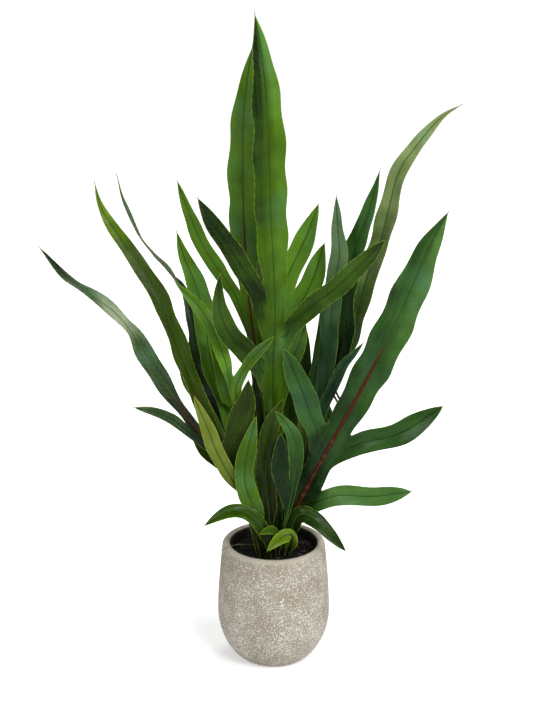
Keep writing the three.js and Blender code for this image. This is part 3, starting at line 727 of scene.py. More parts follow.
FRONDS = (
    Frond(
        "frond_centre_tall",
        Dress(
            Leaf.GREEN, (-0.6, -0.05, 0.12, -0.2, -0.2), (-0.9, -0.6, -0.45, -0.35), lean=1.0, stout=1.25,
            nubs=(246, 259, 270, 281, 300),
        ),
        root=(-1, 8), blade=38, wing=12, stalk=90, taper=3.1, face=(0.12, -1, 0.15),
        rib=(
            (0, 9, 231), (-1, 3, 364), (1, -6, 467), (-4, -14, 573), (-7, -21, 674), (-13, -25, 748),
            (-22, -26, 805),
        ),
        lobes=(
            Lobe(LEFT, 280, 23, (
                (-28, -16, 494), (-59, -26, 548), (-76, -30, 574), (-88, -34, 598),
            ), 3.8),
            Lobe(LEFT, 224, 26, (
                (-40, -30, 418), (-53, -36, 436), (-64, -43, 466), (-64, -48, 490), (-62, -50, 514),
            ), 2),
            Lobe(RIGHT, 257, 24, ((36, -24, 458), (76, -38, 496), (127, -48, 552)), 4.6),
            Lobe(RIGHT, 205, 20, ((22, -8, 394), (38, -6, 438))),
        ),
    ),
    Frond(
        "frond_centre_rear",
        Dress(
            Leaf.GREEN, (-0.9, -0.5, 0.15, 0.4, 0.4), (0.3, 1.0, 1.2), red=0.72, stout=1.2, ridge=0.5,
        ),
        root=(-13, 22), blade=35, wing=9, stalk=120, face=(-0.25, -1, 0.1),
        rib=(
            (-15, 30, 236), (-18, 32, 354), (-27, 30, 431), (-32, 28, 482), (-36, 22, 576),
            (-36, 16, 666), (-31, 11, 725), (-25, 8, 764),
        ),
        lobes=(
            Lobe(LEFT, 280, 19, ((-59, 30, 484), (-82, 30, 519), (-99, 28, 560), (-114, 26, 604))),
            Lobe(RIGHT, 256, 28, ((17, 36, 486), (37, 40, 529), (53, 40, 573)), 3.6),
            Lobe(RIGHT, 200, 30, ((22, 38, 430), (44, 46, 470), (61, 52, 522)), 4),
        ),
    ),
    Frond(
        "frond_right_front",
        Dress(
            Leaf.BLUE_GREEN, (-0.8, -0.7, -0.45, -0.05, 0.15), (-0.35, 0.55, -0.25, -0.4), lean=0.6,
            red=0.65, stout=1.35, ridge=1.0, nubs=(85, 98, 118, 137, 149, 172),
        ),
        root=(9, 4), blade=42, wing=16, stalk=20, taper=3.2, face=(-0.1, -1, 0.3),
        rib=(
            (34, -12, 217), (73, -34, 305), (95, -44, 353), (133, -60, 438), (163, -70, 517),
            (178, -75, 557), (195, -78, 592),
        ),
        lobes=(
            Lobe(RIGHT, 149, 28, ((108, -50, 304), (152, -58, 320), (198, -64, 355)), 3.8),
            Lobe(RIGHT, 75, 24, ((74, -30, 227), (118, -40, 230), (166, -44, 238)), 4.5),
            Lobe(LEFT, 151, 29, ((47, -48, 328), (32, -66, 376), (11, -80, 432))),
            Lobe(LEFT, 75, 17, ((22, -22, 247), (16, -30, 280))),
        ),
    ),
    Frond(
        "frond_right_high", Dress(Leaf.GREY_GREEN, (-0.9, -0.6, -0.1, 0.5, 0.6)),
        root=(16, 26), blade=27, wing=4, stalk=190, face=(-0.7, -1, 0),
        rib=(
            (36, 44, 203), (55, 58, 278), (68, 66, 326), (79, 72, 361), (93, 75, 387), (101, 76, 414),
            (108, 76, 445), (118, 74, 484), (130, 71, 520), (139, 65, 563), (149, 60, 607),
            (169, 52, 641), (195, 42, 676), (218, 36, 692),
        ),
    ),
    Frond(
        "frond_right_dark", Dress(Leaf.BLUE_GREEN, (-1.0, -1.0, -1.0, -0.3, 0.2)),
        root=(9, 34), blade=29, wing=4, stalk=180, face=(-0.6, -1, 0.1),
        rib=(
            (28, 40, 213), (48, 46, 270), (67, 50, 324), (80, 50, 366), (86, 48, 407), (87, 44, 452),
            (95, 38, 511), (112, 30, 565), (124, 24, 617),
        ),
    ),
    Frond(
        "frond_right_teal", Dress(Leaf.TEAL, (-1.0, -0.8, -0.35, 0.5, 0.9), (-0.1,)),
        root=(14, 12), blade=24, wing=5, stalk=150, taper=3.6, face=(-0.4, -1, 0.1),
        rib=(
            (33, 18, 214), (46, 22, 279), (57, 26, 330), (64, 27, 368), (67, 26, 407), (69, 24, 448),
            (73, 22, 484), (78, 20, 512), (76, 19, 540), (73, 18, 588),
        ),
        lobes=(
            Lobe(RIGHT, 152, 14, ((81, 18, 371), (94, 14, 390), (108, 12, 409))),
        ),
    ),
    Frond(
        "frond_left_olive",
        Dress(
            Leaf.OLIVE, (-0.9, -0.7, -0.4, -0.35, 0.8), (-0.5,), red=0.45, ridge=0.2,
        ),
        root=(-18, 2), blade=22, wing=7, stalk=60, taper=3.4, face=(0.65, -1, 0.2),
        rib=(
            (-29, 0, 208), (-52, -4, 255), (-77, -10, 311), (-98, -14, 366), (-114, -16, 415),
            (-132, -18, 467), (-151, -20, 503), (-183, -24, 554), (-200, -25, 584), (-206, -26, 613),
        ),
        lobes=(
            Lobe(LEFT, 112, 14, ((-76, -12, 268), (-99, -16, 298))),
        ),
    ),
    Frond(
        "frond_left_low",
        Dress(
            # the peak towards the tip is the painted sheen where the blade twists
            Leaf.BLOOM, (-1.0, -1.0, -1.0, -1.0, -0.9, -0.2, 0.7, -0.3, -1.1), (-0.15,), red=0.5,
            ridge=0.2,
        ),
        root=(-20, -10), blade=23, wing=6, stalk=90, taper=3.6, turn=70, turned=(0.5, 0.8),
        rib=(
            (-26, -16, 204), (-46, -24, 247), (-81, -32, 298), (-118, -40, 354), (-149, -47, 410),
            (-178, -50, 458), (-207, -54, 484), (-240, -58, 511), (-268, -60, 546),
        ),
        lobes=(
            Lobe(LEFT, 188, 13, ((-133, -40, 336), (-166, -44, 346))),
        ),
    ),
    Frond(
        "frond_left_upright", Dress(Leaf.GREEN, (-0.8, -0.2, 0.8, 0.8, 0.3), (0.1,)),
        root=(-15, 14), blade=30, wing=9, stalk=80, face=(0.6, -1, 0.1),
        rib=(
            (-36, 18, 241), (-59, 20, 319), (-77, 20, 384), (-84, 18, 438), (-94, 16, 481),
            (-107, 14, 515), (-115, 12, 546),
        ),
        lobes=(
            Lobe(RIGHT, 161, 22, ((-58, 10, 355), (-66, 6, 388), (-79, 2, 419))),
        ),
    ),
    Frond(
        "frond_left_thin", Dress(Leaf.DARK, (-1.0, -0.9, -0.2, 0.4), red=0.3),
        root=(-20, 34), blade=27, wing=9, stalk=80, face=(0.6, -1, 0.1), turn=82, turned=(0.5, 0.75),
        rib=(
            (-27, 40, 210), (-42, 42, 258), (-60, 44, 304), (-85, 44, 363), (-99, 42, 421),
            (-110, 38, 464), (-135, 34, 501), (-158, 30, 531), (-176, 22, 573), (-184, 16, 613),
        ),
    ),
    Frond(
        "frond_left_forked", Dress(Leaf.BRIGHT, (-0.8, 0.4, 0.3, 0.0), (0.4,)),
        root=(-16, -3), blade=13, wing=7, stalk=170,
        rib=((-26, -18, 255), (-40, -34, 338), (-45, -40, 371), (-26, -56, 411), (0, -70, 443)),
        lobes=(
            Lobe(LEFT, 223, 17, ((-64, -24, 416), (-83, -10, 452), (-118, 2, 488))),
        ),
    ),
    Frond(
        "frond_front_left", Dress(Leaf.OLIVE, (-0.9, -0.5, -0.75)),
        root=(-13, -16), blade=30, wing=5, stalk=88, taper=4,
        rib=(
            (-27, -25, 203), (-43, -31, 249), (-49, -34, 283), (-43, -38, 317), (-34, -42, 349),
            (-30, -44, 381),
        ),
    ),
    Frond(
        "frond_front_yellow", Dress(Leaf.PALE_OLIVE, (-0.8, -0.05, 0.4)),
        root=(-18, -27), blade=19, wing=4, stalk=85, taper=3.4,
        rib=((-37, -33, 224), (-52, -42, 256), (-68, -52, 292), (-79, -57, 325), (-94, -62, 367)),
    ),
    Frond(
        "frond_front_bright", Dress(Leaf.BRIGHT, (-1.1, 0.2, -0.1, -0.2)),
        root=(-10, -22), blade=24, wing=5, stalk=25, taper=3.6,
        rib=((-23, -37, 209), (-35, -44, 248), (-33, -50, 286), (-27, -54, 315), (-21, -54, 339)),
    ),
    Frond(
        "frond_front_bent", Dress(Leaf.OLIVE, (-1.2, -0.7, 0.0)),
        root=(-2, -12), blade=24, wing=6, stalk=25, taper=4,
        rib=((-7, -24, 212), (-10, -30, 260), (-7, -34, 301), (1, -38, 334), (12, -40, 356)),
    ),
    Frond(
        "frond_front_small", Dress(Leaf.BLUE_GREEN, (-1.2, -1.2, -1.0, -0.2, 0.2), (-1.1,)),
        root=(5, -16), blade=18, wing=5, stalk=40, taper=3.4,
        rib=((16, -30, 201), (24, -42, 252), (27, -48, 287), (20, -54, 321), (1, -58, 347)),
        lobes=(
            Lobe(LEFT, 84, 22, ((9, -46, 256), (8, -50, 316))),
        ),
    ),
    Frond(
        "frond_mid_right", Dress(Leaf.DARK, (-1.4, -0.8, 0.1), (0.1, -0.1)),
        root=(8, 43), blade=22, wing=7, stalk=60,
        rib=((18, 66, 225), (30, 80, 289), (38, 86, 354), (40, 90, 405)),
        lobes=(
            Lobe(RIGHT, 95, 17, ((43, 80, 308), (57, 84, 369), (59, 88, 431))),
            Lobe(LEFT, 90, 18, ((6, 84, 285), (-4, 94, 350))),
        ),
    ),
    Frond(
        "frond_inner_left", Dress(Leaf.DARK, (-1.3, -0.8, -0.2)),
        root=(-8, 1), blade=24, wing=5, stalk=15,
        rib=((-14, -4, 210), (-22, -6, 262), (-26, -8, 310)),
    ),
    Frond(
        "frond_inner_right", Dress(Leaf.BLUE_GREEN, (-1.0, -0.4)),
        root=(3, -4), blade=14, wing=4, stalk=12,
        rib=((4, -10, 193), (4, -15, 235), (8, -18, 272)),
    ),
    Frond(
        "frond_inner_rear", Dress(Leaf.DARK, (-1.4, -1.0, -0.4)),
        root=(2, 22), blade=30, wing=6, stalk=25,
        rib=((8, 22, 215), (15, 20, 275), (20, 18, 362)),
    ),
    Frond(
        "frond_back_tall", Dress(Leaf.GREEN, (-0.5, 0.0), (-0.1, -0.1), red=0.4),
        root=(-4, 42), blade=33, wing=11, stalk=80, face=(0.5, -1, 0.3),
        rib=((-8, 70, 219), (-12, 104, 295), (-13, 130, 400), (-16, 145, 507), (-20, 150, 615)),
        lobes=(
            Lobe(LEFT, 150, 20, ((-30, 124, 278), (-43, 144, 290), (-53, 160, 292))),
            Lobe(RIGHT, 125, 22, ((14, 126, 255), (32, 150, 268), (48, 182, 276))),
        ),
    ),
    Frond(
        "frond_back_left", Dress(Leaf.GREEN, (-0.5, 0.0), (-0.1, -0.1), red=0.4),
        root=(-14, 40), blade=25, wing=9, stalk=60, face=(0.6, -1, 0.6),
        rib=(
            (-40, 64, 215), (-63, 92, 252), (-85, 120, 279), (-104, 150, 304), (-122, 180, 341),
            (-133, 196, 366),
        ),
        lobes=(
            Lobe(LEFT, 105, 18, ((-84, 118, 253), (-100, 130, 256))),
            Lobe(RIGHT, 120, 17, ((-61, 130, 256), (-54, 150, 260))),
        ),
    ),
    Frond(
        "frond_back_right", Dress(Leaf.DARK, (-0.3, 0.2), (0.1, 0.1), red=0.4),
        root=(18, 38), blade=26, wing=9, stalk=60, face=(-0.8, -0.8, 0.6),
        rib=(
            (41, 66, 205), (67, 100, 239), (99, 136, 276), (131, 170, 322), (161, 196, 373),
            (183, 212, 424),
        ),
        lobes=(
            Lobe(RIGHT, 110, 19, ((114, 114, 242), (154, 128, 241), (185, 134, 249))),
            Lobe(LEFT, 130, 19, ((74, 140, 261), (56, 158, 285), (43, 170, 311))),
        ),
    ),
    Frond(
        "frond_inner_centre", Dress(Leaf.DARK, (-1.4, -1.0, -0.4)),
        root=(-7, 15), blade=22, wing=6, stalk=30,
        rib=((-14, 17, 220), (-20, 18, 300), (-24, 17, 372)),
    ),
    Frond(
        "frond_inner_grey", Dress(Leaf.GREY_GREEN, (-1.2, -0.7)),
        root=(22, 8), blade=19, wing=5, stalk=40,
        rib=((28, 4, 200), (34, -2, 250), (36, -6, 295), (31, -9, 331)),
    ),
    Frond(
        "frond_inner_low", Dress(Leaf.DARK, (-1.4, -1.0, -0.4)),
        root=(4, 14), blade=16, wing=5, stalk=10,
        rib=((11, 9, 185), (16, 7, 225), (20, 7, 258)),
    ),
    Frond(
        "leaf_basal_left", Dress(Leaf.GREEN, (-0.9, -0.3)),
        root=(-5, -31), blade=19, wing=5, stalk=15, taper=3.4, face=(0, -0.8, 1),
        rib=(
            (-9, -38, 174), (-17, -43, 194), (-29, -46, 208), (-46, -50, 216), (-66, -53, 209),
            (-84, -55, 198),
        ),
    ),
    Frond(
        "leaf_basal_right", Dress(Leaf.GREEN, (-1.0, -0.8)),
        root=(20, -14), blade=23, wing=4, stalk=15, face=(0, -0.8, 1),
        rib=((24, -26, 190), (37, -34, 205), (54, -40, 196), (70, -44, 178), (88, -46, 160)),
    ),
    Frond(
        "leaf_basal_centre", Dress(Leaf.GREEN, (-0.6, -0.1)),
        root=(4, -25), blade=17, wing=5, stalk=8, face=(0, -0.8, 1),
        rib=((6, -28, 168), (7, -37, 183), (-4, -44, 188), (-18, -50, 184)),
    ),
    Frond(
        "leaf_basal_yellow", Dress(Leaf.YELLOW, (-0.5, 0.1)),
        root=(15, -26), blade=18, wing=4, stalk=8, face=(0, -1, 0.8),
        rib=((21, -36, 166), (23, -42, 179), (14, -49, 183), (2, -54, 176), (-8, -56, 165)),
    ),
)


class StrapCurve:
    """A smooth run through a blade's midrib points, measured by its length."""

    DIVISIONS = 200
    NUDGE = 1e-4  # share to either side, over which the direction is taken

    def __init__(self, points: Sequence[Vector]) -> None:
        """Measures the run through the points.

        Args:
            points: what it goes through, in mm.
        """
        self.points = [Vector(p) for p in points]
        marks = [self.at(i / self.DIVISIONS) for i in range(self.DIVISIONS + 1)]
        self.lengths = [0.0]
        for before, after in zip(marks, marks[1:]):
            self.lengths.append(self.lengths[-1] + (after - before).length)
        self.length = self.lengths[-1]

    def at(self, share: float) -> Vector:
        """The point at a share of the points' count.

        Args:
            share: 0 at the first point, 1 at the last.

        Returns:
            The point.
        """
        count = len(self.points)
        spot = (count - 1) * share
        first = min(int(spot), count - 2)
        rest = spot - first
        a, b = self.points[first], self.points[first + 1]
        before = self.points[first - 1] if first > 0 else 2 * a - b
        after = self.points[first + 2] if first + 2 < count else 2 * b - a
        start, end = (b - before) / 2, (after - a) / 2
        return (
            a + start * rest + (-3 * a + 3 * b - 2 * start - end) * rest**2
            + (2 * a - 2 * b + start + end) * rest**3
        )

    def station(self, distance: float) -> tuple[Vector, Vector]:
        """The run's place at a distance.

        Args:
            distance: mm from the first point.

        Returns:
            The point and the direction there.
        """
        wanted = min(max(distance, 0.0), self.length)
        mark = 0
        while mark < self.DIVISIONS - 1 and self.lengths[mark + 1] < wanted:
            mark += 1
        span = self.lengths[mark + 1] - self.lengths[mark]
        share = (mark + (wanted - self.lengths[mark]) / span) / self.DIVISIONS
        low, high = max(share - self.NUDGE, 0.0), min(share + self.NUDGE, 1.0)
        return self.at(min(share, 1.0)), (self.at(high) - self.at(low)).normalized()


def stops_on(length: float) -> tuple[int, list[float]]:
    """Where a blade has rows: at half stations, and closer at the tip.

    Args:
        length: of its run.

    Returns:
        The count of stations, and the rows' places counted in them.
    """
    steps = max(FEWEST_STATIONS, nearest_whole(length / STATION))
    return steps, [i / 2 for i in range(2 * steps)] + [steps - gap for gap in TIP_GAPS]


@dataclass
class Row:
    """One row across a blade: its midrib point, directions, and the cage's points across it.

    swept is how far its margins lean towards the tip, and margins are its two margin points by side.
    """

    point: Vector
    along: Vector
    distance: float
    across: Vector = field(default_factory=Vector)
    out: Vector = field(default_factory=Vector)
    swept: float = 0.0
    margins: dict[int, Vector] = field(default_factory=dict)
    points: list[Mark] = field(default_factory=list)

    def turn_to(self, face: Vector, degrees: float) -> None:
        """Sets the directions across and out of the blade.

        Args:
            face: where the blade looks.
            degrees: its twist about its own run.
        """
        across = self.along.cross(face).normalized()
        self.across = Matrix.Rotation(math.radians(degrees), 3, self.along) @ across
        self.out = self.across.cross(self.along).normalized()

    def margin(self, side: int, half: float, lift: float) -> Vector:
        """A margin point beside the midrib.

        Args:
            side: LEFT or RIGHT.
            half: the half width there.
            lift: how far the margin stands out of the blade.

        Returns:
            The point.
        """
        return (
            self.point + self.across * (side * half) + self.along * (SWEEP * half * self.swept)
            + self.out * lift
        )


class Cage:
    """The control mesh of a blade, with strap coordinates at its face corners."""

    CREASE = 0.8  # how crisp the fold along a midrib stays, 1 at most

    def __init__(self) -> None:
        """Starts an empty cage."""
        self.points: list[Vector] = []
        self.tones: list[float] = []
        self.faces: list[list[int]] = []
        self.straps: list[list[tuple[float, float]]] = []
        self.creases: set[tuple[int, int]] = set()
        self.tips: list[int] = []

    def add(self, point: Vector, tone: float) -> int:
        """Adds a point with its tone and returns its number."""
        self.points.append(point)
        self.tones.append(tone)
        return len(self.points) - 1

    def close(self, row: Row, tone: float) -> list[Mark]:
        """Adds the single point of a tip.

        Args:
            row: the last row.
            tone: the tone there.

        Returns:
            Its number with its strap coordinates.
        """
        tip = self.add(row.point, tone)
        self.tips.append(tip)
        return [(tip, (0.0, row.distance))]

    def join(self, row: list[Mark], after: list[Mark], turned: bool) -> None:
        """Joins two rows with faces, and keeps the fold along the midrib crisp.

        Args:
            row: point numbers with their strap coordinates.
            after: the next row, or the single point of the tip.
            turned: True if the faces would look inwards otherwise.
        """
        for i in range(len(row) - 1):
            far = [after[0]] if len(after) == 1 else [after[i + 1], after[i]]
            ring = [row[i], row[i + 1], *far]
            if turned:
                ring.reverse()
            self.faces.append([number for number, _ in ring])
            self.straps.append([strap for _, strap in ring])
        middle = row[len(row) // 2][0]
        beyond = after[len(after) // 2][0]
        self.creases.add((min(middle, beyond), max(middle, beyond)))

    def mesh(self, name: str) -> Mesh:
        """Turns the cage into a mesh in metres.

        Args:
            name: the mesh's name.

        Returns:
            The mesh, with its attributes.
        """
        mesh = bpy.data.meshes.new(name)
        mesh.from_pydata([p * MM for p in self.points], [], self.faces)
        layer = mesh.uv_layers.new(name="strap")
        corners = [corner for strap in self.straps for corner in strap]
        layer.data.foreach_set("uv", [value for corner in corners for value in corner])
        tone = mesh.attributes.new("tone", "FLOAT", "POINT")
        tone.data.foreach_set("value", self.tones)
        crease = mesh.attributes.new("crease_edge", "FLOAT", "EDGE")
        for edge in mesh.edges:
            folded = tuple(sorted(edge.vertices)) in self.creases
            crease.data[edge.index].value = self.CREASE if folded else 0.0
        corner = mesh.attributes.new("crease_vert", "FLOAT", "POINT")
        for tip in self.tips:
            corner.data[tip].value = 1.0
        return mesh


@dataclass
class Tube:
    """A thin round piece along a path: a rib, a vein, a hair or a straw.

    redness is what the attribute "tone" says at each of its points.
    """

    path: list[Vector] = field(default_factory=list)
    radii: list[float] = field(default_factory=list)
    redness: list[float] = field(default_factory=list)
    sides: int = 6

    INLAND = 9.0  # mm from a blade's margin, as far as its pale line is concerned

    def add(self, point: Vector, radius: float, redness: float) -> None:
        """Adds the next ring's middle, radius and redness."""
        self.path.append(point)
        self.radii.append(radius)
        self.redness.append(redness)

    def add_to(self, mesh: bmesh.types.BMesh, material: int) -> None:
        """Adds the closed tube to a mesh in metres.

        Args:
            mesh: the mesh, with the layers "tone" and "rim_mm".
            material: its material's number.
        """
        tone = mesh.verts.layers.float["tone"]
        rim = mesh.verts.layers.float["rim_mm"]
        rings = []
        side = None
        for i, point in enumerate(self.path):
            before, after = self.path[max(i - 1, 0)], self.path[min(i + 1, len(self.path) - 1)]
            along = (after - before).normalized()
            if side is None:
                side = along.cross(Vector((0, 1, 0))).normalized()
            side = (side - along * side.dot(along)).normalized()
            other = along.cross(side)
            ring = []
            for k in range(self.sides):
                angle = 2 * math.pi * k / self.sides
                reach = (side * math.cos(angle) + other * math.sin(angle)) * self.radii[i]
                vertex = mesh.verts.new((point + reach) * MM)
                vertex[tone] = self.redness[i]
                vertex[rim] = self.INLAND
                ring.append(vertex)
            rings.append(ring)
        outlines = [
            (low[k], low[(k + 1) % self.sides], high[(k + 1) % self.sides], high[k])
            for low, high in zip(rings, rings[1:]) for k in range(self.sides)
        ]
        for outline in (*outlines, rings[0][::-1], rings[-1]):
            face = mesh.faces.new(outline)
            face.material_index = material
            face.smooth = True


@dataclass
class FrondBuilder:
    """Builds one frond: blade and lobes in one waved sheet, its rib, its veins and its tip hairs."""

    frond: Frond
    number: int
    rib_material: Material

    ARCH = 0.07  # each half of a blade bulges by this share of its half width
    THICKNESS = 0.8
    RIPPLE = 2.6  # mm, greatest height of the soft dents in a blade
    RIPPLE_SIZE = 27  # mm
    RIPPLE_SHIFT = 7.3  # how far apart neighbours lie in the ripples' noise
    STILL = 6  # mm beside the midrib, over which ripples and swellings start
    QUILT = 0.14  # mm, height of the swellings between side veins
    SMOOTH = 50  # degrees, the sharpest edge that is shaded smooth
    STALK_RADIUS = 1.95
    RIB_END_RADIUS = 0.42
    RIB_TAPER = 1.4  # power by which a rib thins towards its tip
    RIB_SHARE = 0.8  # of the stalk's thickness, where the winged rib starts
    RED_EDGE = 0.08  # share of a rib over which its red ends
    VEIN_RADIUS = 0.55
    VEIN_TIP = 0.35  # share of that radius at a lobe's tip
    HAIR_STOPS = (-1, 2, 3.5)  # mm past the tip
    HAIR_RADII = (0.45, 0.3, 0.08)
    HAIR_BEND = Vector((0.8, 0, -0.8))  # mm, how its end turns away
    SIDES = (8, 6, 5)  # of a rib, a vein and a hair
    SUNK = 8.0  # mm of stalk under the soil's surface
    CROWN_SHADE_SPAN = 140  # mm, over which painted shade in the crown fades from a blade's foot
    # how far the tone drops at the foot: painted shade
    CROWN_SHADE = 1.0
    NUB = 0.25  # mm, height of a scar on a rib
    NUB_LENGTH = 1.5
    SCAR_TONE = 0.3  # how pale a scar is on a red rib
    FOOT_SHADE = -1.0  # painted shade: a stalk's foot, dark deep in the crown
    FOOT_SHADE_SPAN = 70  # mm, over which that painted shade fades up the stalk
    STEP = 2.5  # mm between a rib's rings
    FEWEST_STEPS = 4
    RIM_STEPS = 4  # points on each margin edge that distances are measured to

    def bareness(self, distance: float) -> float:
        """1 on the bare stalk, and 0 where the wings are full."""
        return 1 - smooth_step((distance - self.frond.stalk) / SHOULDER)

    def half_width(self, crown: float, length: float, distance: float) -> float:
        """Half width of the middle strip: bare stalk, wings, then the end lobe.

        Args:
            crown: where the end lobe begins.
            length: the rib's length.
            distance: along the rib.

        Returns:
            The half width.
        """
        widening = smooth_step((distance - self.frond.stalk) / SHOULDER)
        winged = STALK_HALF_WIDTH + (self.frond.wing - STALK_HALF_WIDTH) * widening
        if distance < crown:
            return winged
        place = (distance - crown) / (length - crown)
        lobed = self.frond.blade / 2 * self.strap_share(place, self.frond.taper)
        return winged + (lobed - winged) * smooth_step(place / (WIDEST / 2))

    @staticmethod
    def strap_share(place: float, taper: float) -> float:
        """Width of a strap from its neck (0) to its tip (1), as a share of its greatest width."""
        if place < WIDEST:
            return NECK + (1 - NECK) * math.sin(math.pi / 2 * (place / WIDEST))
        return 1 - min((place - WIDEST) / (1 - WIDEST), 1.0) ** taper

    @staticmethod
    def ruffled(half: float, distance: float, phase: float) -> float:
        """Half width of a margin that swings in and out along the blade."""
        return half * (1 + RUFFLE * math.sin(2 * math.pi * distance / RUFFLE_LENGTH + RUFFLE_TURN * phase))

    @staticmethod
    def lift(half: float, distance: float, phase: float) -> float:
        """How far a margin stands out of the blade, by the fold and the wave."""
        return half * (FOLD + WAVE_SHARE * math.sin(2 * math.pi * distance / WAVE_LENGTH + phase))

    def across(self, cage: Cage, row: Row, low: Vector, high: Vector, half: float, tone: float,
               side: int, lean: float = 0.0) -> list[Mark]:
        """Adds a row's five points to the cage.

        Args:
            cage: the cage.
            row: the row.
            low: the margin point that comes first.
            high: the margin point that comes last.
            half: the half width.
            tone: the tone there.
            side: the sign of the strap coordinate at the first margin.
            lean: painted light added to the right half's tone, and painted shade taken from the left
                one's.

        Returns:
            The point numbers with their strap coordinates.
        """
        bulge = row.out * (self.ARCH * half)
        places = (
            (low, side * half), (row.point.lerp(low, 0.5) + bulge, side * half / 2), (row.point, 0.0),
            (row.point.lerp(high, 0.5) + bulge, -side * half / 2), (high, -side * half),
        )
        return [
            (cage.add(point, tone + lean * min(max(2 * x / half, -1), 1)), (x, row.distance))
            for point, x in places
        ]

    def build_cage(self) -> tuple[Cage, list[StrapCurve]]:
        """Lays out the blade and its lobes.

        Returns:
            The cage, and the midrib's curve, followed by each lobe's.
        """
        frond, dress = self.frond, self.frond.dress
        cage = Cage()
        face = Vector(frond.face).normalized()
        curve = StrapCurve([Vector((*frond.root, SOIL_CROWN)), *map(Vector, frond.rib)])
        length = curve.length
        steps, stops = stops_on(length)
        crown = max([frond.stalk, *(lobe.at + STATION for lobe in frond.lobes)])
        phase = FROND_STEP * self.number
        rows = [Row(*curve.station(length * stop / steps), length * stop / steps) for stop in stops]
        rows[0].along = UP.copy()
        start, end = frond.turned
        last = None
        for row in rows:
            half = self.half_width(crown, length, row.distance)
            place = max(0.0, (row.distance - crown) / (length - crown))
            share = row.distance / length
            row.turn_to(face, frond.turn * smooth_step((share - start) / (end - start)))
            row.swept = 1 - smooth_step(place * 2)
            bare = self.bareness(row.distance)
            # Painted shade in the crown: each blade darkens towards its foot.
            old = 1 - smooth_step(row.distance / min(self.CROWN_SHADE_SPAN, length / 2))
            tone = value_at(dress.tones, share) - self.CROWN_SHADE * old
            row.margins = {
                side: row.margin(
                    side, half if bare > 0 else self.ruffled(half, row.distance, wave),
                    (1 - bare) * self.lift(half, row.distance, wave),
                )
                for side, wave in ((LEFT, phase), (RIGHT, phase + WAVE_STEP))
            }
            if row is rows[-1]:
                row.points = cage.close(row, tone)
            else:
                # the lean paints light on the right half and shade on the left
                row.points = self.across(
                    cage, row, row.margins[LEFT], row.margins[RIGHT], half, tone, LEFT,
                    dress.lean * share**2,
                )
            if last:
                cage.join(last.points, row.points, False)
            last = row
        curves = [curve]
        for index, (lobe, tone) in enumerate(zip(frond.lobes, dress.lobes)):
            # Its foot spans five rows, around the station nearest to where it leaves the rib.
            whole = next(s for s in range(steps) if length * s / steps > lobe.at - STATION / 2)
            wing = rows[2 * whole - 2 : 2 * whole + 3]
            curves.append(self.add_lobe(cage, lobe, wing, face, phase + WAVE_STEP * (index + 1), tone))
        return cage, curves

    def add_lobe(self, cage: Cage, lobe: Lobe, wing: list[Row], face: Vector, phase: float,
                 tone: float) -> StrapCurve:
        """Grows a side lobe out of the wing's margin.

        Args:
            cage: the frond's cage.
            lobe: the lobe.
            wing: the five rows that its foot spans.
            face: where the blade looks.
            phase: of its waves.
            tone: its tone.

        Returns:
            The lobe's curve.
        """
        foot = wing[2].point
        neck = (foot - wing[2].margins[lobe.side]).length
        curve = StrapCurve([foot, *map(Vector, lobe.points)])
        reach = curve.length - neck
        steps, stops = stops_on(reach)
        edge = 0 if lobe.side == LEFT else -1
        last = [
            (row.points[edge][0], (spread * lobe.width / 2, 0.0))
            for row, spread in zip(wing, FIVE_ACROSS)
        ]
        started = False
        for stop in stops:
            distance = neck + reach * stop / steps
            row = Row(*curve.station(distance), distance)
            started = started or (row.point - wing[4].margins[lobe.side]).dot(row.along) > ROOT_CLEAR
            if not started or stop == 0:
                continue
            place = (distance - neck) / reach
            row.turn_to(face, 0.0)
            half = lobe.width / 2 * self.strap_share(place, lobe.taper)
            low, high = (
                row.margin(side, self.ruffled(half, distance, wave), self.lift(half, distance, wave))
                for side, wave in ((lobe.side, phase), (-lobe.side, phase + WAVE_STEP))
            )
            if stop == steps:
                row.points = cage.close(row, tone)
            else:
                row.points = self.across(cage, row, low, high, half, tone, 1)
            cage.join(last, row.points, lobe.side == RIGHT)
            last = row.points
        return curve

    def ripple(self, mesh: Mesh) -> None:
        """Dents the sheet softly and swells it between the side veins.

        Args:
            mesh: the blade's sheet, before it is thickened.
        """
        strap = mesh.uv_layers["strap"].data
        places = {}
        for loop in mesh.loops:
            places.setdefault(loop.vertex_index, strap[loop.index].uv.copy())
        shift = Vector((0, 0, self.RIPPLE_SHIFT * self.number))
        normals = [Vector(n.vector) for n in mesh.vertex_normals]
        for vertex in mesh.vertices:
            across, along = places[vertex.index]
            far = min(abs(across) / self.STILL, 1.0)
            dent = noise.noise(vertex.co / (self.RIPPLE_SIZE * MM) + shift) * self.RIPPLE * far
            climb = along - LeafFinish.SIDE_VEIN_SLANT * abs(across)
            quilt = math.sin(2 * math.pi * climb / LeafFinish.SIDE_VEIN_PITCH)
            vertex.co += normals[vertex.index] * ((dent + quilt * self.QUILT * far) * MM)

    @staticmethod
    def measure_margin(mesh: Mesh) -> None:
        """Writes each point's distance to the sheet's margin, in mm, as "rim_mm".

        Args:
            mesh: the blade's sheet, before it is thickened.
        """
        uses: dict[tuple[int, int], int] = {}
        for polygon in mesh.polygons:
            for key in polygon.edge_keys:
                uses[key] = uses.get(key, 0) + 1
        open_edges = [key for key, count in uses.items() if count == 1]
        count = FrondBuilder.RIM_STEPS
        tree = KDTree(count * len(open_edges))
        for i, (a, b) in enumerate(open_edges):
            for k in range(count):
                tree.insert(mesh.vertices[a].co.lerp(mesh.vertices[b].co, k / count), count * i + k)
        tree.balance()
        rim = mesh.attributes.new("rim_mm", "FLOAT", "POINT")
        rim.data.foreach_set("value", [tree.find(v.co)[2] / MM for v in mesh.vertices])

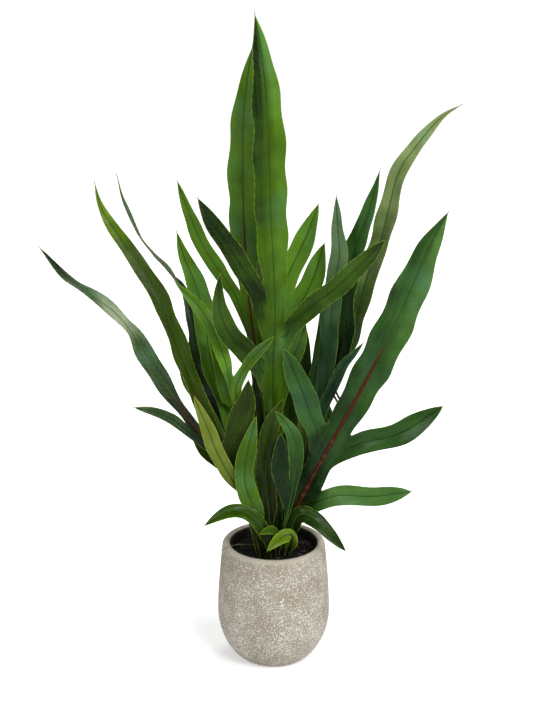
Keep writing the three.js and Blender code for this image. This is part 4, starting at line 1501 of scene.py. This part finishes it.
    def add_rib_point(self, tube: Tube, point: Vector, distance: float, share: float) -> None:
        """Lays the rib's next ring: thick and bare at its foot, red and scarred where it is old, and
        painted dark at its foot as painted shade in the crown.

        Args:
            tube: the rib.
            point: the ring's middle.
            distance: along the rib.
            share: the same, as a share of the rib's length.
        """
        dress, bare = self.frond.dress, self.bareness(distance)
        thick = self.STALK_RADIUS * (1 + (dress.stout - 1) * (1 - bare))
        kept = max(bare, max(0.0, 1 - share) ** self.RIB_TAPER * self.RIB_SHARE)
        scar = sum(math.exp(-(((distance - nub) / self.NUB_LENGTH) ** 2)) for nub in dress.nubs)
        reach = (dress.red - share) / self.RED_EDGE
        # painted shade: the stalk darkens towards the soil, deep in the crown
        foot = self.FOOT_SHADE * (1 - smooth_step(distance / self.FOOT_SHADE_SPAN))
        tube.add(
            point,
            self.RIB_END_RADIUS + (thick - self.RIB_END_RADIUS) * kept
            + self.NUB * scar + dress.ridge * smooth_step(reach),
            smooth_step(reach + 0.5) * (1 + self.SCAR_TONE * scar) + foot,
        )

    def tubes(self, mesh: Mesh, curves: Sequence[StrapCurve]) -> list[Tube]:
        """The rib and veins, laid on the sheet, and a dry hair at each tip.

        Args:
            mesh: the sheet.
            curves: the midrib's, followed by each lobe's.

        Returns:
            The tubes.
        """
        sheet = BVHTree.FromPolygons(
            [v.co / MM for v in mesh.vertices], [p.vertices[:] for p in mesh.polygons]
        )
        made = []
        for order, curve in enumerate(curves):
            tube = Tube(sides=self.SIDES[1 if order else 0])
            if order == 0:
                # painted shade: the buried end is as dark as the foot
                sunk = Vector((*self.frond.root, SOIL_CROWN - self.SUNK))
                tube.add(sunk, self.STALK_RADIUS, self.FOOT_SHADE)
            step = 2 * self.STEP if order else self.STEP
            count = max(self.FEWEST_STEPS, int(curve.length / step))
            for i in range(count + 1):
                distance = curve.length * i / count
                point = sheet.find_nearest(curve.station(distance)[0])[0]
                share = distance / curve.length
                if order == 0:
                    self.add_rib_point(tube, point, distance, share)
                else:
                    left = max(0.0, 1 - share)
                    tube.add(point, self.VEIN_RADIUS * (self.VEIN_TIP + (1 - self.VEIN_TIP) * left), 0.0)
            tip, direction = curve.station(curve.length)
            hair = [tip + direction * stop for stop in self.HAIR_STOPS]
            hair[-1] += self.HAIR_BEND * (1 if order % 2 else -1)
            made += [tube, Tube(hair, list(self.HAIR_RADII), [1.0] * len(hair), self.SIDES[2])]
        return made

    def build(self) -> Piece:
        """Makes the frond, with its material slots in order: upper side, underside, rib.

        Returns:
            The frond's object.
        """
        leaf = self.frond.dress.leaf
        cage, curves = self.build_cage()
        piece = add_piece(cage.mesh(self.frond.name + "_blade"))
        apply_modifier(piece, "SUBSURF", levels=2, render_levels=2)
        mesh = piece.data
        self.ripple(mesh)
        self.measure_margin(mesh)
        tubes = self.tubes(mesh, curves)
        for material in (LEAVES[leaf], UNDERSIDES[leaf], self.rib_material):
            mesh.materials.append(material)
        apply_modifier(
            piece, "SOLIDIFY", thickness=self.THICKNESS * MM, offset=0.0, material_offset=1
        )
        shaped = bmesh.new()
        shaped.from_mesh(piece.data)
        for tube in tubes:
            tube.add_to(shaped, 2)
        shaped.to_mesh(piece.data)
        shaped.free()
        select_only(piece)
        bpy.ops.object.shade_smooth_by_angle(angle=math.radians(self.SMOOTH))
        return piece


# ---- Pot, soil and litter ----


@dataclass
class Pot:
    """The cement pot, turned up from its foot, over the rounded lip and down to the floor inside."""

    sides: int = 72
    foot_edge: float = 1.2  # mm, how far the foot's edge is worn round
    lip_steps: int = 8  # over the lip's half circle

    # mm up the wall, closer together where it curves more, and down again inside
    HEIGHTS = (0.8, 2, 4, 7, 11, 16, 22, 29, 37, 46, 55, 63, 72, 82, 92, 102, 112, 122, 131, 139, 145)
    INNER_HEIGHTS = (139, 122, 102, 82, 63, 46, 29, 20)
    FLOOR_RADII = (40, 20)

    @staticmethod
    def radius(height: float) -> float:
        """Outside radius by height.

        Args:
            height: above the ground, in mm.

        Returns:
            The radius in mm.
        """
        if height < POT_BELLY_HEIGHT:
            rise = 1 - height / POT_BELLY_HEIGHT
            share = (1 - rise**FOOT_ROUND) ** FOOT_FLARE
            return POT_FOOT_RADIUS + (POT_BELLY_RADIUS - POT_FOOT_RADIUS) * share
        rise = (height - POT_BELLY_HEIGHT) / (POT_HEIGHT - POT_BELLY_HEIGHT)
        return POT_BELLY_RADIUS - (POT_BELLY_RADIUS - POT_RIM_RADIUS) * rise**RIM_DRAW

    def outline(self) -> list[tuple[float, float]]:
        """The [radius, height] points from the foot's edge to the middle of the floor.

        Returns:
            The points in order, in mm.
        """
        lip_height = POT_HEIGHT - LIP_RADIUS
        lip_radius = self.radius(lip_height) - LIP_RADIUS
        angles = [math.pi * step / self.lip_steps for step in range(self.lip_steps + 1)]
        return [
            *((self.radius(h), h) for h in self.HEIGHTS),
            *((lip_radius + LIP_RADIUS * math.cos(a), lip_height + LIP_RADIUS * math.sin(a))
              for a in angles),
            *((self.radius(h) - POT_WALL, h) for h in self.INNER_HEIGHTS),
            *((radius, POT_FLOOR) for radius in self.FLOOR_RADII),
        ]

    def build(self, finish: Material) -> Piece:
        """Makes the pot by extruding its foot ring by ring.

        Args:
            finish: the cement.

        Returns:
            The pot.
        """
        piece = turn_up(
            "cement_pot", POT_FOOT_RADIUS - self.foot_edge, 0.0, self.outline(), self.sides
        )
        apply_modifier(piece, "SUBSURF", levels=1, render_levels=1)
        bpy.ops.object.shade_smooth()
        piece.data.materials.append(finish)
        return piece


def turn_up(name: str, radius: float, height: float, outline: Sequence[tuple[float, float]],
            sides: int) -> Piece:
    """Turns up a round piece: a disc whose face is extruded and resized along an outline.

    Args:
        name: the piece's name.
        radius: the first disc's radius.
        height: the first disc's height.
        outline: the [radius, height] points that follow.
        sides: of the disc.

    Returns:
        The piece.
    """
    bpy.ops.object.select_all(action="DESELECT")
    bpy.ops.mesh.primitive_circle_add(
        vertices=sides, radius=radius * MM, fill_type="NGON", location=(0, 0, height * MM)
    )
    piece = bpy.context.active_object
    piece.name = piece.data.name = name
    bpy.ops.object.mode_set(mode="EDIT")
    bpy.ops.mesh.select_all(action="SELECT")
    for wide, high in outline:
        bpy.ops.mesh.extrude_region_move(TRANSFORM_OT_translate={"value": (0, 0, (high - height) * MM)})
        bpy.ops.transform.resize(value=(wide / radius, wide / radius, 1))
        radius, height = wide, high
    bpy.ops.mesh.select_all(action="SELECT")
    bpy.ops.mesh.normals_make_consistent(inside=False)
    bpy.ops.object.mode_set(mode="OBJECT")
    select_only(piece)
    bpy.ops.object.transform_apply(location=True, rotation=True, scale=True)
    return piece


@dataclass
class Soil:
    """The soil that fills the pot, with an uneven top, and the crumbs of bark and peat on it."""

    sides: int = 72
    rough: float = 2.2  # mm, height of the lumps
    lump: float = 9.0  # mm, their size
    foot: float = 40.0  # mm, radius of its flat bottom
    rings: int = 22  # from the wall to the middle of its top
    crumbs: int = 620
    spread: float = 50.5  # mm from the middle, the furthest crumb
    bark: float = 0.22  # share of crumbs that are brown bark
    seed: int = 7

    HEIGHTS = (30, 46, 63, 82, 102, 122, SOIL_EDGE)  # mm up the pot's wall
    SIZES = (0.7, 2.6)  # mm, radii of crumbs
    SHAPES = ((0.6, 1.6), (0.5, 1.1), (0.3, 0.8))  # a crumb's length, width and height against them
    TILT = 0.6  # radians, the steepest that a crumb lies
    RISE = 0.2  # share of a crumb's radius that its middle stands above the soil
    JAG = (1.3, 0.45)  # how close and how deep the dents of a crumb are
    FULL_TURN = 6.3  # radians
    APART = 90  # how far apart crumbs may lie in the noise that dents them
    FINE = (3, 0.5, 40)  # finer lumps: how much smaller and lower, and their place in the noise

    def surface(self, x: float, y: float) -> float:
        """Height of the soil's top at a place, in mm.

        Args:
            x: the place, in mm.
            y: the place, in mm.

        Returns:
            The height above the ground.
        """
        out = min(math.hypot(x, y) / (POT_RIM_RADIUS - POT_WALL), 1.0)
        level = SOIL_CROWN + (SOIL_EDGE - SOIL_CROWN) * smooth_step(out)
        smaller, lower, place = self.FINE
        coarse = noise.noise(Vector((x, y, 0)) / self.lump)
        fine = noise.noise(Vector((x, y, place)) / (self.lump / smaller))
        return level + self.rough * (coarse + lower * fine)

    def build(self, finish: Material) -> Piece:
        """Makes the soil's body.

        Args:
            finish: the soil's material.

        Returns:
            The body.
        """
        bottom = POT_FLOOR + SEAT_GAP
        wall = [(Pot.radius(h) - POT_WALL - SEAT_GAP, h) for h in self.HEIGHTS]
        edge = wall[-1][0]
        top = [(edge * (1 - k / self.rings), SOIL_EDGE) for k in range(1, self.rings)]
        piece = turn_up("soil_body", self.foot, bottom, [*wall, *top], self.sides)
        apply_modifier(piece, "SUBSURF", levels=1, render_levels=1, subdivision_type="SIMPLE")
        flat = (SOIL_EDGE - 0.5) * MM  # all above this is the top, still level
        for vertex in piece.data.vertices:
            if vertex.co.z > flat:
                vertex.co.z = self.surface(vertex.co.x / MM, vertex.co.y / MM) * MM
        bpy.ops.object.shade_smooth()
        piece.data.materials.append(finish)
        return piece

    def build_crumbs(self, finishes: Sequence[Material]) -> Piece:
        """Scatters crumbs and flakes of bark over the soil.

        Args:
            finishes: dark soil, then brown bark.

        Returns:
            All the crumbs as one piece.
        """
        draw = random.Random(self.seed)
        bpy.ops.object.select_all(action="DESELECT")
        bpy.ops.mesh.primitive_ico_sphere_add(subdivisions=2, radius=1.0)
        model = bpy.context.active_object
        corners = [v.co.copy() for v in model.data.vertices]
        faces = [tuple(p.vertices) for p in model.data.polygons]
        bpy.data.objects.remove(model)
        points, sides, shades = [], [], []
        pace, depth = self.JAG
        for _ in range(self.crumbs):
            angle, out = draw.uniform(0, 2 * math.pi), self.spread * math.sqrt(draw.random())
            x, y = out * math.cos(angle), out * math.sin(angle)
            size = draw.uniform(*self.SIZES)
            shape = [draw.uniform(*limits) for limits in self.SHAPES]
            spin = Matrix.Rotation(draw.uniform(0, self.FULL_TURN), 3, "Z")
            turn = spin @ Matrix.Rotation(draw.uniform(-self.TILT, self.TILT), 3, "X")
            place = Vector((x, y, self.surface(x, y) + self.RISE * size))
            start = len(points)
            shift = Vector((draw.uniform(0, self.APART), 0, 0))
            for corner in corners:
                rough = 1 + depth * noise.noise(corner * pace + shift)
                own = Vector(a * b for a, b in zip(corner, shape)) * (rough * size)
                points.append((place + turn @ own) * MM)
            sides += [tuple(start + i for i in face) for face in faces]
            shades += [1 if draw.random() < self.bark else 0] * len(faces)
        mesh = bpy.data.meshes.new("soil_crumbs")
        mesh.from_pydata(points, [], sides)
        for finish in finishes:
            mesh.materials.append(finish)
        mesh.polygons.foreach_set("material_index", shades)
        return add_piece(mesh)


@dataclass(frozen=True)
class Litter:
    """A small dry thing or two among the stalks.

    paths holds each one's points, and radii is at equal steps from start to end, in mm.
    """

    name: str
    finish: PlainFinish
    radii: tuple[float, ...]
    paths: tuple[tuple[Point, ...], ...]

    STEPS = 20

    def build(self) -> Piece:
        """Makes thin round pieces along the paths.

        Returns:
            The new object, which holds them all.
        """
        shaped = bmesh.new()
        for layer in ("tone", "rim_mm"):
            shaped.verts.layers.float.new(layer)
        for points in self.paths:
            curve = StrapCurve([Vector(p) for p in points])
            tube = Tube()
            for i in range(self.STEPS + 1):
                spot = curve.station(curve.length * i / self.STEPS)[0]
                tube.add(spot, value_at(self.radii, i / self.STEPS), 1.0)
            tube.add_to(shaped, 0)
        mesh = bpy.data.meshes.new(self.name)
        shaped.to_mesh(mesh)
        shaped.free()
        mesh.materials.append(self.finish.material())
        return add_piece(mesh)


LITTER = (
    # a straw over the rim
    Litter("dry_straw", PlainFinish("Dry straw", "#4c5428", "#7c7c48"), (0.55, 0.3), (
        ((-17, -6, 150), (-34, -14, 155), (-52, -24, 157.5), (-62, -30, 155.5), (-68, -33, 152)),
    )),
    Litter(
        "bud_scale", PlainFinish("Dry bud scale, red-brown", "#5a1c0c", "#8c3a1c"), (0.6, 1.7, 1.3, 0.2),
        (((-22, -14, 158), (-24, -16, 166), (-27, -17, 175)),),
    ),
    # curled stems that hang from the teal frond
    Litter("old_stems", PlainFinish("Dead stem", "#0c0906", "#1e160e"), (1.4, 1.4, 1.2, 0.8), (
        (
            (71.5, 18.2, 342.3), (73.5, 14, 339), (78, 9, 332), (82.5, 6, 321), (83.5, 4, 309),
            (78, 4, 299),
        ),
        ((74, 17.8, 348.5), (76, 13, 344), (81, 8, 335), (86, 4, 324), (87, 2, 313)),
    )),
)


# ---- Studio ----


@dataclass
class Studio:
    """A plain pale floor, soft light, and the camera at the photograph's angle, sized in metres."""

    place: Point = (-0.009, -2.002, 1.066)
    down: float = 18.5  # degrees
    lens: float = 89.1  # mm
    sensor: float = 36  # mm, its long side
    paper: float = 30  # width of the floor
    fade: tuple[float, float] = (0.1, 0.4)  # from the middle, where the glow starts to rise and ends
    near_glow: float = 0.33  # added to the paper beside the pot, so little that its shadow shows
    far_glow: float = 0.85  # added further off, so that the paper is white to the horizon
    room: float = 0.25  # light of the room; where it is seen it is as white as the paper
    aim: Point = (0, 0, 0.4)  # where the lamps point
    # each lamp's place and size in metres, and its power in watts
    lamps: tuple[tuple[Point, float, float], ...] = (
        ((1.1, -1.8, 2.0), 1.0, 47), ((-1.5, -1.7, 1.5), 1.0, 29), ((0.5, 1.6, 2.2), 1.2, 26),
        ((2.0, -0.6, 1.2), 0.9, 20),
    )

    PAPER = (0.8, 0.8, 0.8, 1)
    WHITE = (1, 1, 1, 1)

    def build(self) -> None:
        """Makes the floor, the lights, the world and the camera."""
        bpy.ops.object.select_all(action="DESELECT")
        bpy.ops.mesh.primitive_plane_add(size=self.paper, location=(0, 0, 0))
        floor = bpy.context.active_object
        floor.name = "studio_floor"
        material, tree, shader = new_material("Matt white paper")
        seen = add_node(tree, "LightPath")
        place = add_node(tree, "TexCoord", output="Object")
        far = add_node(tree, "VectorMath", (place,), operation="LENGTH", output="Value")
        start, end = self.fade
        paper = add_node(tree, "MapRange", (far, start, end, self.near_glow, self.far_glow))
        set_inputs(tree, shader, {
            "Base Color": self.PAPER,
            "Roughness": 0.9,
            "Specular IOR Level": 0.1,
            "Emission Color": self.WHITE,
            "Emission Strength": add_node(tree, "Math", (seen, paper), operation="MULTIPLY"),
        })
        floor.data.materials.append(material)
        self.build_room()
        for spot, size, power in self.lamps:
            bpy.ops.object.light_add(type="AREA", location=spot)
            lamp = bpy.context.active_object
            lamp.data.size = size
            lamp.data.energy = power
            aim = Vector(self.aim) - Vector(spot)
            lamp.rotation_euler = aim.to_track_quat("-Z", "Y").to_euler()
        bpy.ops.object.camera_add(
            location=self.place, rotation=(math.radians(90 - self.down), 0, 0)
        )
        camera = bpy.context.active_object
        camera.data.lens = self.lens
        camera.data.sensor_width = self.sensor
        bpy.context.scene.camera = camera
        bpy.context.scene.view_settings.view_transform = "Standard"

    def build_room(self) -> None:
        """Makes the room's light: dim on the plant, and white where it is seen behind the paper."""
        world = bpy.data.worlds.new("Soft white room")
        world.use_nodes = True
        tree = world.node_tree
        seen = add_node(tree, "LightPath")
        strength = add_node(tree, "MapRange", (seen, 0.0, 1.0, self.room, 1.0))
        set_inputs(tree, tree.nodes["Background"], {"Color": self.WHITE, "Strength": strength})
        bpy.context.scene.world = world


LEAVES = {leaf: leaf.value.material(False) for leaf in Leaf}
UNDERSIDES = {leaf: leaf.value.material(True) for leaf in Leaf}


def main() -> None:
    """Builds every piece around the frame, and reports each."""
    logging.basicConfig(level=logging.INFO, format="%(name)s: %(message)s")
    Studio().build()
    seat(Pot().build(CementFinish().material()), ["pot"])
    soil = Soil()
    dark = SoilFinish().material()
    bark = PlainFinish("Composted bark", "#1e150d", "#40301f").material()
    seat(soil.build(dark), ["soil"])
    seat(soil.build_crumbs([dark, bark]), [])
    for litter in LITTER:
        seat(litter.build(), [])
    rib = RibFinish().material()
    for number, frond in enumerate(FRONDS):
        seat(FrondBuilder(frond, number, rib).build(), [frond.name])


if __name__ == "__main__":
    main()
